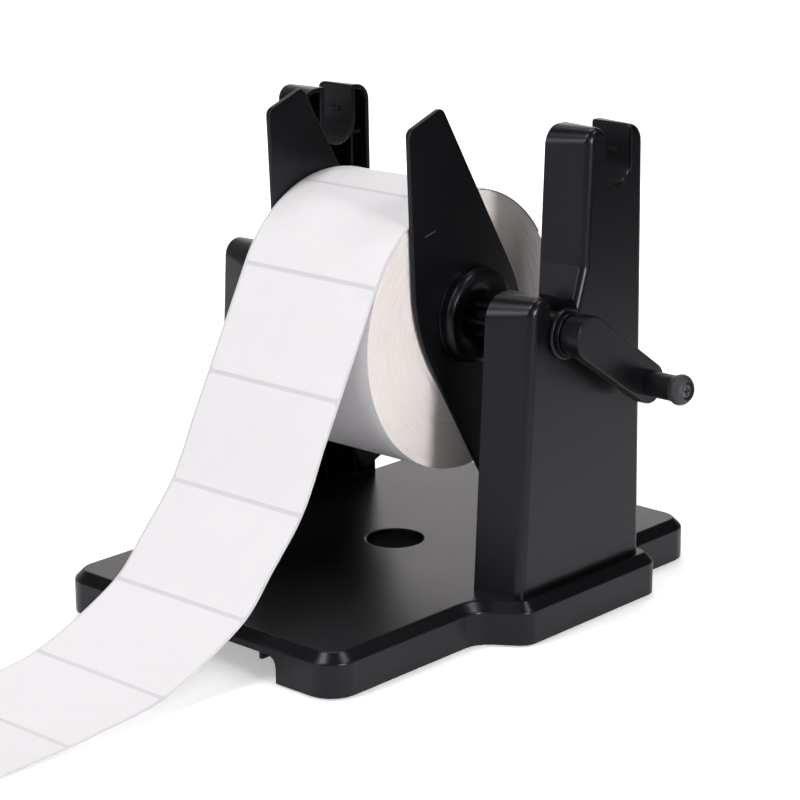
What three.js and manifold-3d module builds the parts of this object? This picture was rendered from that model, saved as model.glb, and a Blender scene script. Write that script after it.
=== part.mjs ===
// Manual label rewinder: a base plate with two slotted towers, a ribbed spindle with a crank, two sliding
// guide plates and a roll of labels. Millimetres, +Z up, +X along the spindle towards the crank, -Y towards
// the side where the labels come out. The origin is on the base's flat top, midway between the towers.
import * as THREE from "three";
import { mergeVertices } from "three/addons/utils/BufferGeometryUtils.js";
import Module from "manifold-3d";

const wasm = await Module();
wasm.setup();

// Clearances
const REST_GAP = 0.3; // between pieces that touch on the real thing
const RUN_GAP = 0.3; // around what turns or slides
const THREAD_FIT = 0.05; // between a screw's thread and its hole
const TINY_BEND = 0.05; // smallest rounding that an inset leaves on a corner

// Base plate
const BASE_WIDTH = 172;
const BASE_FRONT = 150.9; // from the towers' centre line to the front edge
const BASE_BACK = 101.1; // and to the back edge
const BASE_HEIGHT = 19.5;
const BASE_CORNER = 13;
const BASE_CHAMFER = 4.3;
const BASE_SKIRT = 3; // wall of the skirt
const BASE_DECK = 3.2; // wall of the top
const BUMP_LEDGE = 8.6; // how far the side bumps stand out past the towers
const BUMP_MIDDLE = 52.8; // middle of a bump's front end, from the towers' centre line
const BUMP_SLOPE = 34; // degrees from X that the front end runs
const BUMP_BACK = 49.2; // outer corner of its back end, from the towers' centre line
const BUMP_BACK_SLOPE = 5;
const BUMP_BEND = 9; // radius of a bump's outer corners
const BUMP_ROOT = 14; // and where its front and back ends meet the base
const BUMP_BACK_ROOT = 5;
const HOLE_RADIUS = 13.4;
const HOLE_Y = -18.8;
const HOLE_COLLAR = 2.4; // wall round the hole, under the deck
const HOLE_COLLAR_HEIGHT = 8;
const CUT_HALF = 52; // half the width of the cut-out in the front skirt
const CUT_HEIGHT = 12;
const CUT_CORNER = 5;
const RIB_WALL = 1.8;
const RIB_HEIGHT = 9;
const RIB_PITCH_X = 40;
const RIB_PITCH_Y = 56;
const LANDING_SHARE = 0.35; // size of the top's own triangle round the origin, of the one that it splits

// Rubber pads and the base's corner posts
const PAD_RADIUS = 8;
const PAD_THICKNESS = 3;
const PAD_PROUD = 1;
const POST_WALL = 2.6;
const PAD_INSET = 17; // from the base's edges to a pad's centre

// Towers
const TOWER_INSET = 11.6; // from the base's straight sides in to a tower's open side
const TOWER_THICK = 22.4;
const TOWER_FOOT = 95.8; // front to back at the foot, on the open side
const TOWER_WALL = 2.2;
const TOWER_FACE = 2.6; // the closed outer side
const TOWER_SOLE = 4; // the foot that the screws pull down
const TOWER_DRAFT = 6.2; // front edge, from the open side to the outer side
const TOWER_BACK_DRAFT = 3.6; // and the back edge
const TOWER_EDGE = 3.4; // round of the outer side's edges
const SLOT_EASE = 0.2; // share of that round on the slots' edges
const SLOT_LIP = 3; // wall round the slots
const TOWER_FRONT_LEAN = 8; // from the foot up to the low block's top
const TOWER_BACK_LEAN = 2.4;
const BLOCK_TOP = 133.7;
const BLOCK_ROUND = 11.5;
const TALL_TOP = 203.3;
const TALL_ROUND = 9;
const TALL_FRONT_LEAN = 3;
const TALL_DRAFT = 4.2;
const BACK_TOP = 201.9;
const BACK_ROUND = 8.5;
const LEAD_HEIGHT = 14; // sloped lead into the lower slot
const LEAD_LOW = 128.5;
const LEAD_STEP = 0.8;
const LIP_ROUND = 1.2; // slots' upper edges at the open side
const LIP_OUTER = 6; // and the front ones at the closed side
const TOWER_RIB = 1.6;
const RIB_RECESS = 1.5; // the ribs stop this far behind the open side
const CROSS_RIBS = [38, 74, 160]; // heights of the cross ribs
const BACK_RIB = 178.4; // height of the short rib behind the upper slot
const NUB_LENGTH = 6; // snap on the upper slot's back wall
const NUB_HEIGHT = 3.6;
const NUB_PROUD = 0.8;
const NUB_RISE = 3.3; // from the slot's centre up to the nub's

// Spindle
const SPINDLE_Y = -13.1;
const SPINDLE_Z = 115.7;
const UPPER_SLOT_Y = 23.8;
const UPPER_SLOT_Z = 186.2;
const JOURNAL_RADIUS = 9;
const SHAFT_CORE = 7.4;
const RIB_TIP = 10.5;
const SHAFT_RIB = 1.8;
const SHAFT_RIBS = 8;
const SHOULDER_GAP = 1.2; // from the ribs' ends to the towers
const FLANGE_GAP = 0.5;
const FLANGE_RADIUS = 11.7;
const FLANGE_THICK = 2;
const SOCKET_SIDE = 9.6;
const SOCKET_DEPTH = 15;

// Crank
const CRANK_RING_RADIUS = 9.9;
const CRANK_RING = 1.7;
const CRANK_HUB_RADIUS = 9.2;
const CRANK_HUB = 4.2;
const ARM_REACH = 52.5; // spindle to knob
const ARM_ANGLE = -34; // degrees from +Y
const ARM_HUB_ROUND = 9.9;
const ARM_END_ROUND = 9.4;
const ARM_THICK = 7;
const ARM_BEVEL = 1.6;
const ARM_BACK_BEVEL = 0.8;

// Knob and its screw
const KNOB_LENGTH = 20.3;
const KNOB_NECK = 5.9;
const KNOB_HEAD = 6.9;
const KNOB_RECESS = 4.7;
const KNOB_RECESS_DEPTH = 3.4;
const SCREW_HEAD = 4;
const SCREW_HEAD_THICK = 2;
const SCREW_SHANK = 2.3;
const SCREW_THREAD = 1.9;
const SCREW_BITE = 5; // how far the thread goes into the arm
const CROSS_HALF = 0.5; // cross recess of the screws
const CROSS_REACH = 2.3;
const CROSS_DEPTH = 1.1;

// Guide plates
const WING_THICK = 2.5;
const WING_EDGE = 0.6;
const WING_CORNER = 4;
const WING_SHOULDER = 80;
const WING_TIP = [-19.1, 96.6]; // high corner, from the spindle
const WING_HEEL = [-41.1, 88.5]; // low end of the slanted top
const WING_SIDE = [37.1, 2.7]; // where the long slope meets the straight side
const HUB_OUTER = 22.8;
const HUB_CREST = 18.2; // radius of the dome's highest ring
const HUB_INNER = 9.4; // where its inner slope ends, between the keys of the ribbed bore
const HUB_HEIGHT = 7;
const HUB_FUNNEL = 5.4; // how far that slope drops from the crest
const HUB_STEP = 0.7; // foot ring under the dome
const RIGHT_WING_X = 40.3; // the face towards the roll
const LEFT_WING_X = -42.9;
const WING_PLAY = 0.5; // between a plate and the roll

// Label roll
const ROLL_RADIUS = 64.2;
const CORE_INNER = 19.05;
const CORE_WALL = 3;
const ROLL_SWING = 10; // degrees that the web pulls the hanging roll forward
const WEB_THICK = 0.5;
const WEB_STEP = 8; // between its sections
const WEB_BACK = 35; // degrees from +Y where the last turn starts, behind the top
const WEB_LEAVE = 152; // and where it leaves the roll
const WEB_STRAIGHT = 104; // run down from there
const WEB_FALL = [ // middle line after that, from the base's front edge and the table
  [10.2, 44], [-2.2, 30.6], [-16.7, 21.7], [-54, 6.9], [-88, 3.2], [-119, 1.5],
];
const LABEL_PITCH = 52;
const LABEL_GAP = 2;
const LABEL_RELIEF = 0.15;
const WEB_RUN = 152; // from the base's front edge to the web's end

// Tower screws
const TAP_RADIUS = 1.5;
const TAP_LENGTH = 15;
const TAP_HEAD = 4;
const TAP_HEAD_THICK = 2.4;
const TAP_BOSS = 4.4;
const TAP_PITCH = 33;
const TAPS_PER_TOWER = 3;
const PEG_RADIUS = 2.4;
const PEG_LENGTH = 2.6;

// Places worked out from the sizes above
const TABLE = -(BASE_HEIGHT + PAD_PROUD);
const SKIRT_FOOT = -BASE_HEIGHT;
const TOWER_INNER = BASE_WIDTH / 2 - TOWER_INSET;
const TOWER_OUTER = TOWER_INNER + TOWER_THICK;
const TOWER_MIDDLE = TOWER_INNER + TOWER_THICK / 2;
const SLOT_RADIUS = JOURNAL_RADIUS + RUN_GAP;
const RIBS_END = TOWER_INNER - SHOULDER_GAP;
const FLANGE_X = TOWER_OUTER + FLANGE_GAP;
const SHAFT_END = FLANGE_X + FLANGE_THICK;
const CRANK_X = SHAFT_END + REST_GAP;
const ARM_BACK = CRANK_X + CRANK_RING + CRANK_HUB;
const ARM_FACE = ARM_BACK + ARM_THICK;
const KNOB_X = ARM_FACE + RUN_GAP;
const ARM_TURN = THREE.MathUtils.degToRad(ARM_ANGLE);
const KNOB_Y = SPINDLE_Y + ARM_REACH * Math.cos(ARM_TURN);
const KNOB_Z = SPINDLE_Z + ARM_REACH * Math.sin(ARM_TURN);
const ROLL_DROP = CORE_INNER - RIB_TIP - RUN_GAP;
const ROLL_TURN = THREE.MathUtils.degToRad(ROLL_SWING);
const ROLL_Y = SPINDLE_Y - ROLL_DROP * Math.sin(ROLL_TURN);
const ROLL_Z = SPINDLE_Z - ROLL_DROP * Math.cos(ROLL_TURN);
const ROLL_LEFT = LEFT_WING_X + WING_PLAY;
const ROLL_RIGHT = RIGHT_WING_X - WING_PLAY;

// Colours and finishes
function finish(color, roughness, metalness = 0) {
  return new THREE.MeshStandardMaterial({ color, roughness, metalness });
}
const blackPlastic = () => finish("#1b1b1e", 0.42);
const rubber = () => finish("#151515", 0.9);
const steel = () => finish("#a9abad", 0.35, 0.9);
const card = () => finish("#b79c77", 0.85);
const paper = () => finish("#ece7e3", 0.8);
const labels = () => finish("#f4f2f5", 0.5);

// Solids

// Points of a closed outline with rounded corners, anticlockwise. A corner is [u, v, radius, steps, share]:
// the edge that leaves it moves inwards by inset times its share. Roundings that meet shrink to fit.
function contour(corners, inset = 0, shareOf = (corner) => corner[4] ?? 1) {
  const before = (i) => (i + corners.length - 1) % corners.length;
  const after = (i) => (i + 1) % corners.length;
  const edges = corners.map((corner, i) => {
    const next = corners[after(i)];
    const way = new THREE.Vector2(next[0] - corner[0], next[1] - corner[1]).normalize();
    const shift = inset * shareOf(corner);
    return { start: new THREE.Vector2(corner[0] - way.y * shift, corner[1] + way.x * shift), way, shift };
  });
  const bends = corners.map(([, , radius = 0], i) => {
    const [from, to] = [edges[before(i)], edges[i]];
    const turn = Math.atan2(from.way.cross(to.way), from.way.dot(to.way));
    const along = to.start.clone().sub(from.start).cross(to.way) / from.way.cross(to.way);
    const tip = from.start.clone().addScaledVector(from.way, along);
    const left = radius - (Math.sign(turn) * (from.shift + to.shift)) / 2;
    const reach = radius === 0 ? 0 : Math.max(left, TINY_BEND) * Math.tan(Math.abs(turn) / 2);
    return { tip, turn, reach };
  });
  const room = bends.map(({ tip, reach }, i) => {
    const next = bends[after(i)];
    return Math.min(1, tip.distanceTo(next.tip) / Math.max(reach + next.reach, 1e-9));
  });
  const points = [];
  bends.forEach(({ tip, turn, reach }, i) => {
    if (reach === 0) {
      points.push(tip);
      return;
    }
    const { way } = edges[before(i)];
    const fitted = reach * Math.min(room[before(i)], room[i]);
    const bend = (fitted / Math.tan(Math.abs(turn) / 2)) * Math.sign(turn);
    const start = tip.clone().addScaledVector(way, -fitted);
    const centre = start.clone().add(new THREE.Vector2(-way.y * bend, way.x * bend));
    const steps = corners[i][3];
    for (let step = 0; step <= steps; step += 1) {
      points.push(start.clone().rotateAround(centre, (turn * step) / steps));
    }
  });
  return points;
}

// A closed geometry through sections of equal count. Each is { at, points }, and place puts (u, v, at) in
// space.
function loft(sections, place) {
  const count = sections[0].points.length;
  const positions = [];
  sections.forEach(({ at, points }) => points.forEach((p) => positions.push(...place(p.x, p.y, at))));
  const index = [];
  for (let s = 0; s + 1 < sections.length; s += 1) {
    for (let i = 0; i < count; i += 1) {
      const a = s * count + i;
      const b = s * count + ((i + 1) % count);
      index.push(a, b, b + count, a, b + count, a + count);
    }
  }
  const top = (sections.length - 1) * count;
  THREE.ShapeUtils.triangulateShape(sections[0].points, []).forEach(([a, b, c]) => index.push(c, b, a));
  THREE.ShapeUtils.triangulateShape(sections[sections.length - 1].points, []).forEach(([a, b, c]) => {
    index.push(top + a, top + b, top + c);
  });
  const geometry = new THREE.BufferGeometry();
  geometry.setAttribute("position", new THREE.Float32BufferAttribute(positions, 3));
  geometry.setIndex(index);
  return geometry;
}
const alongX = (u, v, at) => [at, u, v];
const alongY = (u, v, at) => [v, at, u];
const alongZ = (u, v, at) => [u, v, at];

function prism(points, low, high, place) {
  return loft([{ at: low, points }, { at: high, points }], place);
}

function box(x0, x1, y0, y1, z0, z1) {
  const geometry = new THREE.BoxGeometry(x1 - x0, y1 - y0, z1 - z0);
  return geometry.translate((x0 + x1) / 2, (y0 + y1) / 2, (z0 + z1) / 2);
}

// A turned solid about an axis along X through (y, z). The profile is [x, radius] pairs, closed or from axis
// to axis.
function turnedX(profile, y, z, sides = 40) {
  const lathe = new THREE.LatheGeometry(profile.map(([x, r]) => new THREE.Vector2(r, x)), sides);
  lathe.applyMatrix4(new THREE.Matrix4().makeBasis(
    new THREE.Vector3(0, 1, 0), new THREE.Vector3(1, 0, 0), new THREE.Vector3(0, 0, -1),
  ));
  return lathe.translate(0, y, z);
}

// The same about a vertical axis through (x, y), with [z, radius] pairs.
function turnedZ(profile, x, y, sides = 24) {
  const lathe = new THREE.LatheGeometry(profile.map(([z, r]) => new THREE.Vector2(r, z)), sides);
  return lathe.rotateX(Math.PI / 2).translate(x, y, 0);
}

function rodX(x0, x1, radius, y, z, sides) {
  return turnedX([[x0, 0], [x0, radius], [x1, radius], [x1, 0]], y, z, sides);
}

function rodZ(z0, z1, radius, x, y, sides) {
  return turnedZ([[z0, 0], [z0, radius], [z1, radius], [z1, 0]], x, y, sides);
}

// A closed geometry as a solid that can be joined and cut.
function solid(geometry) {
  geometry.deleteAttribute("normal");
  geometry.deleteAttribute("uv");
  const merged = mergeVertices(geometry, 1e-5);
  const position = merged.attributes.position;
  const index = Array.from(merged.index.array);
  const [a, b, c] = [new THREE.Vector3(), new THREE.Vector3(), new THREE.Vector3()];
  const faces = [];
  let volume = 0;
  for (let i = 0; i < index.length; i += 3) {
    const [p, q, r] = [index[i], index[i + 1], index[i + 2]];
    if (p === q || q === r || r === p) continue;
    a.fromBufferAttribute(position, p);
    b.fromBufferAttribute(position, q);
    c.fromBufferAttribute(position, r);
    volume += a.dot(b.cross(c));
    faces.push([p, q, r]);
  }
  const triVerts = faces.flatMap(([p, q, r]) => (volume < 0 ? [p, r, q] : [p, q, r]));
  return new wasm.Manifold(new wasm.Mesh({
    numProp: 3, vertProperties: new Float32Array(position.array), triVerts: new Uint32Array(triVerts),
  }));
}

function join(first, ...others) {
  return others.reduce((sum, other) => sum.add(solid(other)), solid(first));
}

function cut(whole, ...tools) {
  return tools.reduce((rest, tool) => rest.subtract(solid(tool)), whole);
}

function geometryOf(manifold) {
  const mesh = manifold.getMesh();
  const geometry = new THREE.BufferGeometry();
  geometry.setAttribute("position", new THREE.Float32BufferAttribute(mesh.vertProperties, 3));
  geometry.setIndex(Array.from(mesh.triVerts));
  return geometry;
}

// Gives the flat top a triangle of its own round the origin, which a plate of that outline can lie on clear
// of the towers.
function withLanding(geometry) {
  const { position } = geometry.attributes;
  const points = Array.from({ length: position.count }, (_, i) => (
    new THREE.Vector3().fromBufferAttribute(position, i)
  ));
  const origin = new THREE.Vector3();
  const index = [];
  for (let i = 0; i < geometry.index.count; i += 3) {
    const ring = [0, 1, 2].map((step) => geometry.index.getX(i + step));
    const corners = ring.map((at) => points[at]);
    const onTop = corners.every((corner) => Math.abs(corner.z) < 1e-4);
    if (onTop && new THREE.Triangle(...corners).containsPoint(origin)) {
      const first = points.length;
      points.push(...corners.map((corner) => corner.clone().multiplyScalar(LANDING_SHARE)));
      ring.forEach((at, step) => {
        const next = (step + 1) % 3;
        index.push(at, ring[next], first + next, at, first + next, first + step);
      });
      index.push(first, first + 1, first + 2);
    } else {
      index.push(...ring);
    }
  }
  return new THREE.BufferGeometry().setFromPoints(points).setIndex(index);
}

function mirroredX(geometry) {
  const copy = geometry.clone().scale(-1, 1, 1);
  const index = Array.from(copy.index.array);
  for (let i = 0; i < index.length; i += 3) {
    [index[i + 1], index[i + 2]] = [index[i + 2], index[i + 1]];
  }
  copy.setIndex(index);
  return copy;
}

const model = new THREE.Group();

function piece(name, geometry, material) {
  geometry.computeVertexNormals();
  const mesh = new THREE.Mesh(geometry, material);
  mesh.name = name;
  model.add(mesh);
}

// Screw places, one row of three along each tower's foot, with locating pegs between them
const tapPlaces = [];
for (let i = 0; i < TAPS_PER_TOWER; i += 1) tapPlaces.push((i - (TAPS_PER_TOWER - 1) / 2) * TAP_PITCH);
const pegPlaces = tapPlaces.slice(1).map((y) => y - TAP_PITCH / 2);

// Base plate
function baseOutline() {
  const half = BASE_WIDTH / 2;
  const bump = TOWER_OUTER + BUMP_LEDGE;
  const runAt = (slope) => (bump - half) * Math.tan(THREE.MathUtils.degToRad(slope));
  const run = runAt(BUMP_SLOPE) / 2;
  const right = [
    [half, -BASE_FRONT, BASE_CORNER, 5],
    [half, -BUMP_MIDDLE - run, BUMP_ROOT, 4],
    [bump, -BUMP_MIDDLE + run, BUMP_BEND, 4],
    [bump, BUMP_BACK, BUMP_BEND, 5],
    [half, BUMP_BACK + runAt(BUMP_BACK_SLOPE), BUMP_BACK_ROOT, 3],
    [half, BASE_BACK, BASE_CORNER, 5],
  ];
  return [...right, ...right.map(([x, y, ...rest]) => [-x, y, ...rest]).reverse()];
}

const padPlaces = [PAD_INSET - BASE_FRONT, BASE_BACK - PAD_INSET].flatMap((y) => (
  [1, -1].map((side) => [side * (BASE_WIDTH / 2 - PAD_INSET), y])
));

function basePlate() {
  const outline = baseOutline();
  const body = solid(loft([
    { at: SKIRT_FOOT, points: contour(outline) },
    { at: -BASE_CHAMFER, points: contour(outline) },
    { at: 0, points: contour(outline, BASE_CHAMFER) },
  ], alongZ));
  const hollow = solid(loft([
    { at: SKIRT_FOOT - 1, points: contour(outline, BASE_SKIRT) },
    { at: -BASE_CHAMFER - BASE_DECK / 2, points: contour(outline, BASE_SKIRT) },
    { at: -BASE_DECK, points: contour(outline, BASE_SKIRT + BASE_CHAMFER - BASE_DECK / 2) },
  ], alongZ));
  const ribFoot = -BASE_DECK - RIB_HEIGHT;
  const edge = TOWER_OUTER + BUMP_LEDGE;
  const inner = [];
  for (let x = -RIB_PITCH_X; x <= RIB_PITCH_X; x += RIB_PITCH_X) {
    inner.push(box(x - RIB_WALL / 2, x + RIB_WALL / 2, -BASE_FRONT + 1, BASE_BACK - 1, ribFoot, -1));
  }
  for (let y = -2 * RIB_PITCH_Y; y < BASE_BACK; y += RIB_PITCH_Y) {
    inner.push(box(-edge, edge, y - RIB_WALL / 2, y + RIB_WALL / 2, ribFoot, -1));
  }
  inner.push(rodZ(-HOLE_COLLAR_HEIGHT - BASE_DECK, -1, HOLE_RADIUS + HOLE_COLLAR, 0, HOLE_Y, 24));
  [1, -1].forEach((side) => tapPlaces.forEach((y) => {
    inner.push(rodZ(ribFoot, -1, TAP_HEAD + RUN_GAP + RIB_WALL, side * TOWER_MIDDLE, y, 12));
  }));
  padPlaces.forEach(([x, y]) => {
    inner.push(rodZ(SKIRT_FOOT, -1, PAD_RADIUS + REST_GAP + POST_WALL, x, y, 20));
  });
  const reach = solid(prism(contour(outline, BASE_SKIRT / 2), SKIRT_FOOT, -1, alongZ));
  const ribs = join(...inner).intersect(reach).intersect(body);
  const padSeat = SKIRT_FOOT - PAD_PROUD + PAD_THICKNESS;
  const cuts = [
    rodZ(-BASE_HEIGHT, 1, HOLE_RADIUS, 0, HOLE_Y, 40),
    prism(contour([
      [SKIRT_FOOT - 5, -CUT_HALF], [SKIRT_FOOT + CUT_HEIGHT, -CUT_HALF, CUT_CORNER, 4],
      [SKIRT_FOOT + CUT_HEIGHT, CUT_HALF, CUT_CORNER, 4], [SKIRT_FOOT - 5, CUT_HALF],
    ]), -BASE_FRONT - 1, -BASE_FRONT + BASE_SKIRT + 0.01, alongY),
    ...padPlaces.map(([x, y]) => rodZ(SKIRT_FOOT - 1, padSeat, PAD_RADIUS + REST_GAP, x, y, 24)),
  ];
  [1, -1].forEach((side) => {
    tapPlaces.forEach((y) => {
      cuts.push(rodZ(SKIRT_FOOT, -BASE_DECK, TAP_HEAD + RUN_GAP, side * TOWER_MIDDLE, y, 12));
      cuts.push(rodZ(SKIRT_FOOT, 1, TAP_RADIUS + RUN_GAP, side * TOWER_MIDDLE, y, 10));
    });
    pegPlaces.forEach((y) => {
      cuts.push(rodZ(SKIRT_FOOT, 1, PEG_RADIUS + REST_GAP, side * TOWER_MIDDLE, y, 10));
    });
  });
  return withLanding(geometryOf(cut(body.subtract(hollow).add(ribs), ...cuts)));
}
piece("base_plate", basePlate(), blackPlastic());

// Rubber pads
padPlaces.forEach(([x, y], i) => {
  const foot = TABLE;
  const top = TABLE + PAD_THICKNESS;
  const pad = turnedZ([
    [foot, 0], [foot, PAD_RADIUS - 0.6], [foot + 0.6, PAD_RADIUS], [top, PAD_RADIUS], [top, 0],
  ], x, y, 24);
  piece(`foot_pad_${i + 1}`, geometryOf(solid(pad)), rubber());
});

// Towers. Corners of the side outline at a share of the way from the open side (0) to the closed side (1),
// each with the wall along the edge that leaves it where that isn't the plain one.
function towerCorners(share) {
  const draft = TOWER_DRAFT * share;
  const back = TOWER_FOOT / 2 - TOWER_BACK_DRAFT * share;
  const tall = TALL_DRAFT * share;
  const footHalf = TOWER_FOOT / 2;
  const lowBack = SPINDLE_Y + SLOT_RADIUS;
  const slotFoot = SPINDLE_Z - SLOT_RADIUS;
  const upperFoot = UPPER_SLOT_Z - SLOT_RADIUS;
  const leadTop = lowBack + LEAD_STEP + tall;
  const lip = LIP_ROUND + (LIP_OUTER - LIP_ROUND) * Math.max(share, 0);
  return [
    [-footHalf + draft, 0, 0, 1, 1, TOWER_SOLE],
    [back, 0, 0, 1, 1],
    [back - TOWER_BACK_LEAN, BACK_TOP, BACK_ROUND, 4, 1],
    [UPPER_SLOT_Y + SLOT_RADIUS, BACK_TOP, LIP_ROUND, 2, SLOT_EASE, SLOT_LIP],
    [UPPER_SLOT_Y + SLOT_RADIUS, upperFoot, SLOT_RADIUS, 5, SLOT_EASE, SLOT_LIP],
    [UPPER_SLOT_Y - SLOT_RADIUS, upperFoot, SLOT_RADIUS, 5, SLOT_EASE, SLOT_LIP],
    [UPPER_SLOT_Y - SLOT_RADIUS, TALL_TOP, lip, 3, 1],
    [leadTop + TALL_FRONT_LEAN, TALL_TOP, TALL_ROUND, 5, 1],
    [leadTop, LEAD_LOW + LEAD_HEIGHT, 3, 2, 1],
    [lowBack, LEAD_LOW, 3, 2, SLOT_EASE],
    [lowBack, slotFoot, SLOT_RADIUS, 5, SLOT_EASE, SLOT_LIP],
    [SPINDLE_Y - SLOT_RADIUS, slotFoot, SLOT_RADIUS, 5, SLOT_EASE, SLOT_LIP],
    [SPINDLE_Y - SLOT_RADIUS, BLOCK_TOP, lip, 3, 1],
    [-footHalf + draft + TOWER_FRONT_LEAN, BLOCK_TOP, BLOCK_ROUND, 5, 1],
  ];
}

// Box ribs that run from the closed side up to the ribs' recess, between two points of the side view
function towerRib(y0, z0, y1, z1) {
  const half = TOWER_RIB / 2;
  const [front, back] = [Math.min(y0, y1), Math.max(y0, y1)];
  return y0 === y1
    ? box(TOWER_INNER + RIB_RECESS, TOWER_OUTER - 1, y0 - half, y0 + half, z0, z1)
    : box(TOWER_INNER + RIB_RECESS, TOWER_OUTER - 1, front, back, z0 - half, z0 + half);
}

function towerShell() {
  const bend = [30, 60, 90].map((angle) => THREE.MathUtils.degToRad(angle));
  const straight = TOWER_OUTER - TOWER_EDGE;
  const shareAt = (x) => (x - TOWER_INNER) / TOWER_THICK;
  const skin = [
    { at: TOWER_INNER, points: contour(towerCorners(0)) },
    { at: straight, points: contour(towerCorners(shareAt(straight))) },
    ...bend.map((angle) => {
      const at = straight + TOWER_EDGE * Math.sin(angle);
      return { at, points: contour(towerCorners(shareAt(at)), TOWER_EDGE * (1 - Math.cos(angle))) };
    }),
  ];
  // the rounding leaves the foot square, so the outline's bottom edge is put back on the deck
  skin.forEach(({ points }) => points.forEach((p) => {
    if (p.y < TOWER_EDGE + 0.01) p.y = 0;
  }));
  const hollow = loft([TOWER_INNER - 1, TOWER_OUTER - TOWER_FACE].map((at) => (
    { at, points: contour(towerCorners(shareAt(at)), 1, (corner) => corner[5] ?? TOWER_WALL) }
  )), alongX);
  const whole = solid(loft(skin, alongX));
  const toWall = SLOT_RADIUS + SLOT_LIP / 2;
  const half = TOWER_FOOT / 2;
  const ribs = [
    ...[-toWall, toWall].map((step) => towerRib(UPPER_SLOT_Y + step, 0, UPPER_SLOT_Y + step, UPPER_SLOT_Z)),
    towerRib(SPINDLE_Y, 0, SPINDLE_Y, SPINDLE_Z - toWall),
    towerRib(UPPER_SLOT_Y + toWall, BACK_RIB, half, BACK_RIB),
    ...CROSS_RIBS.map((z) => towerRib(-half, z, half, z)),
    ...tapPlaces.map((y) => rodZ(0, TAP_LENGTH + 2, TAP_BOSS, TOWER_MIDDLE, y, 16)),
  ];
  const grid = join(...ribs).intersect(whole);
  const shell = cut(
    whole.subtract(solid(hollow)).add(grid),
    slotSpace(SPINDLE_Y, SPINDLE_Z, BLOCK_TOP), slotSpace(UPPER_SLOT_Y, UPPER_SLOT_Z, TALL_TOP),
  );
  const slotBack = UPPER_SLOT_Y + SLOT_RADIUS;
  const nubHeight = UPPER_SLOT_Z + NUB_RISE;
  const nub = prism(contour([
    [slotBack + 1, nubHeight - NUB_HEIGHT / 2], [slotBack + 1, nubHeight + NUB_HEIGHT / 2],
    [slotBack - NUB_PROUD, nubHeight + NUB_HEIGHT / 4, 0.6, 2],
    [slotBack - NUB_PROUD, nubHeight - NUB_HEIGHT / 4, 0.6, 2],
  ]), TOWER_MIDDLE - NUB_LENGTH / 2, TOWER_MIDDLE + NUB_LENGTH / 2, alongX);
  const pegs = pegPlaces.map((y) => rodZ(-PEG_LENGTH, 1, PEG_RADIUS, TOWER_MIDDLE, y, 10));
  const depth = TAP_LENGTH - BASE_DECK;
  const pilots = tapPlaces.map((y) => rodZ(-1, depth, TAP_RADIUS + THREAD_FIT, TOWER_MIDDLE, y, 10));
  return geometryOf(cut(shell.add(join(nub, ...pegs)), ...pilots));
}

// The clear width of a U slot, past its top and through the tower
function slotSpace(y, z, top) {
  const outline = contour([
    [y - SLOT_RADIUS, top + 5], [y - SLOT_RADIUS, z - SLOT_RADIUS, SLOT_RADIUS, 5],
    [y + SLOT_RADIUS, z - SLOT_RADIUS, SLOT_RADIUS, 5], [y + SLOT_RADIUS, top + 5],
  ]);
  return prism(outline, TOWER_INNER - 1, TOWER_OUTER + 1, alongX);
}

const tower = towerShell();
piece("tower_right", tower, blackPlastic());
piece("tower_left", mirroredX(tower), blackPlastic());

// Tapping screws, driven up through the deck into the towers
function tapScrew(x, y) {
  const seat = -BASE_DECK;
  const low = seat - TAP_HEAD_THICK;
  const tip = seat + TAP_LENGTH - REST_GAP;
  const body = solid(turnedZ([
    [low, 0], [low, TAP_HEAD - 0.8], [low + 0.9, TAP_HEAD], [seat, TAP_HEAD], [seat, TAP_RADIUS],
    [tip - TAP_RADIUS, TAP_RADIUS], [tip, 0],
  ], x, y, 10));
  const crossCuts = [[CROSS_HALF, CROSS_REACH], [CROSS_REACH, CROSS_HALF]].map(([u, v]) => (
    box(x - u, x + u, y - v, y + v, low - 1, low + CROSS_DEPTH)
  ));
  return geometryOf(cut(body, ...crossCuts));
}
[["right", 1], ["left", -1]].forEach(([side, sign]) => tapPlaces.forEach((y, i) => {
  piece(`tower_screw_${side}_${i + 1}`, tapScrew(sign * TOWER_MIDDLE, y), steel());
}));

// Spindle. Outline of the ribbed length, and of the bore that slides on it when grow is the clearance.
function ribbedOutline(grow = 0) {
  const core = SHAFT_CORE + grow;
  const tip = RIB_TIP + grow;
  const half = SHAFT_RIB / 2 + grow;
  const centre = new THREE.Vector2();
  const points = [];
  for (let rib = 0; rib < SHAFT_RIBS; rib += 1) {
    const turn = (rib / SHAFT_RIBS) * 2 * Math.PI;
    const corners = [
      [Math.sqrt(core ** 2 - half ** 2), -half], [Math.sqrt(tip ** 2 - half ** 2), -half],
      [Math.sqrt(tip ** 2 - half ** 2), half], [Math.sqrt(core ** 2 - half ** 2), half],
    ];
    corners.forEach(([u, v]) => points.push(new THREE.Vector2(u, v).rotateAround(centre, turn)));
    points.push(new THREE.Vector2(core, 0).rotateAround(centre, turn + Math.PI / SHAFT_RIBS));
  }
  return points.map((p) => p.add(new THREE.Vector2(SPINDLE_Y, SPINDLE_Z)));
}

function squareOutline(side) {
  const corners = [[-1, -1], [1, -1], [1, 1], [-1, 1]];
  return contour(corners.map(([y, z]) => [SPINDLE_Y + (y * side) / 2, SPINDLE_Z + (z * side) / 2, 0.8, 1]));
}

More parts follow.
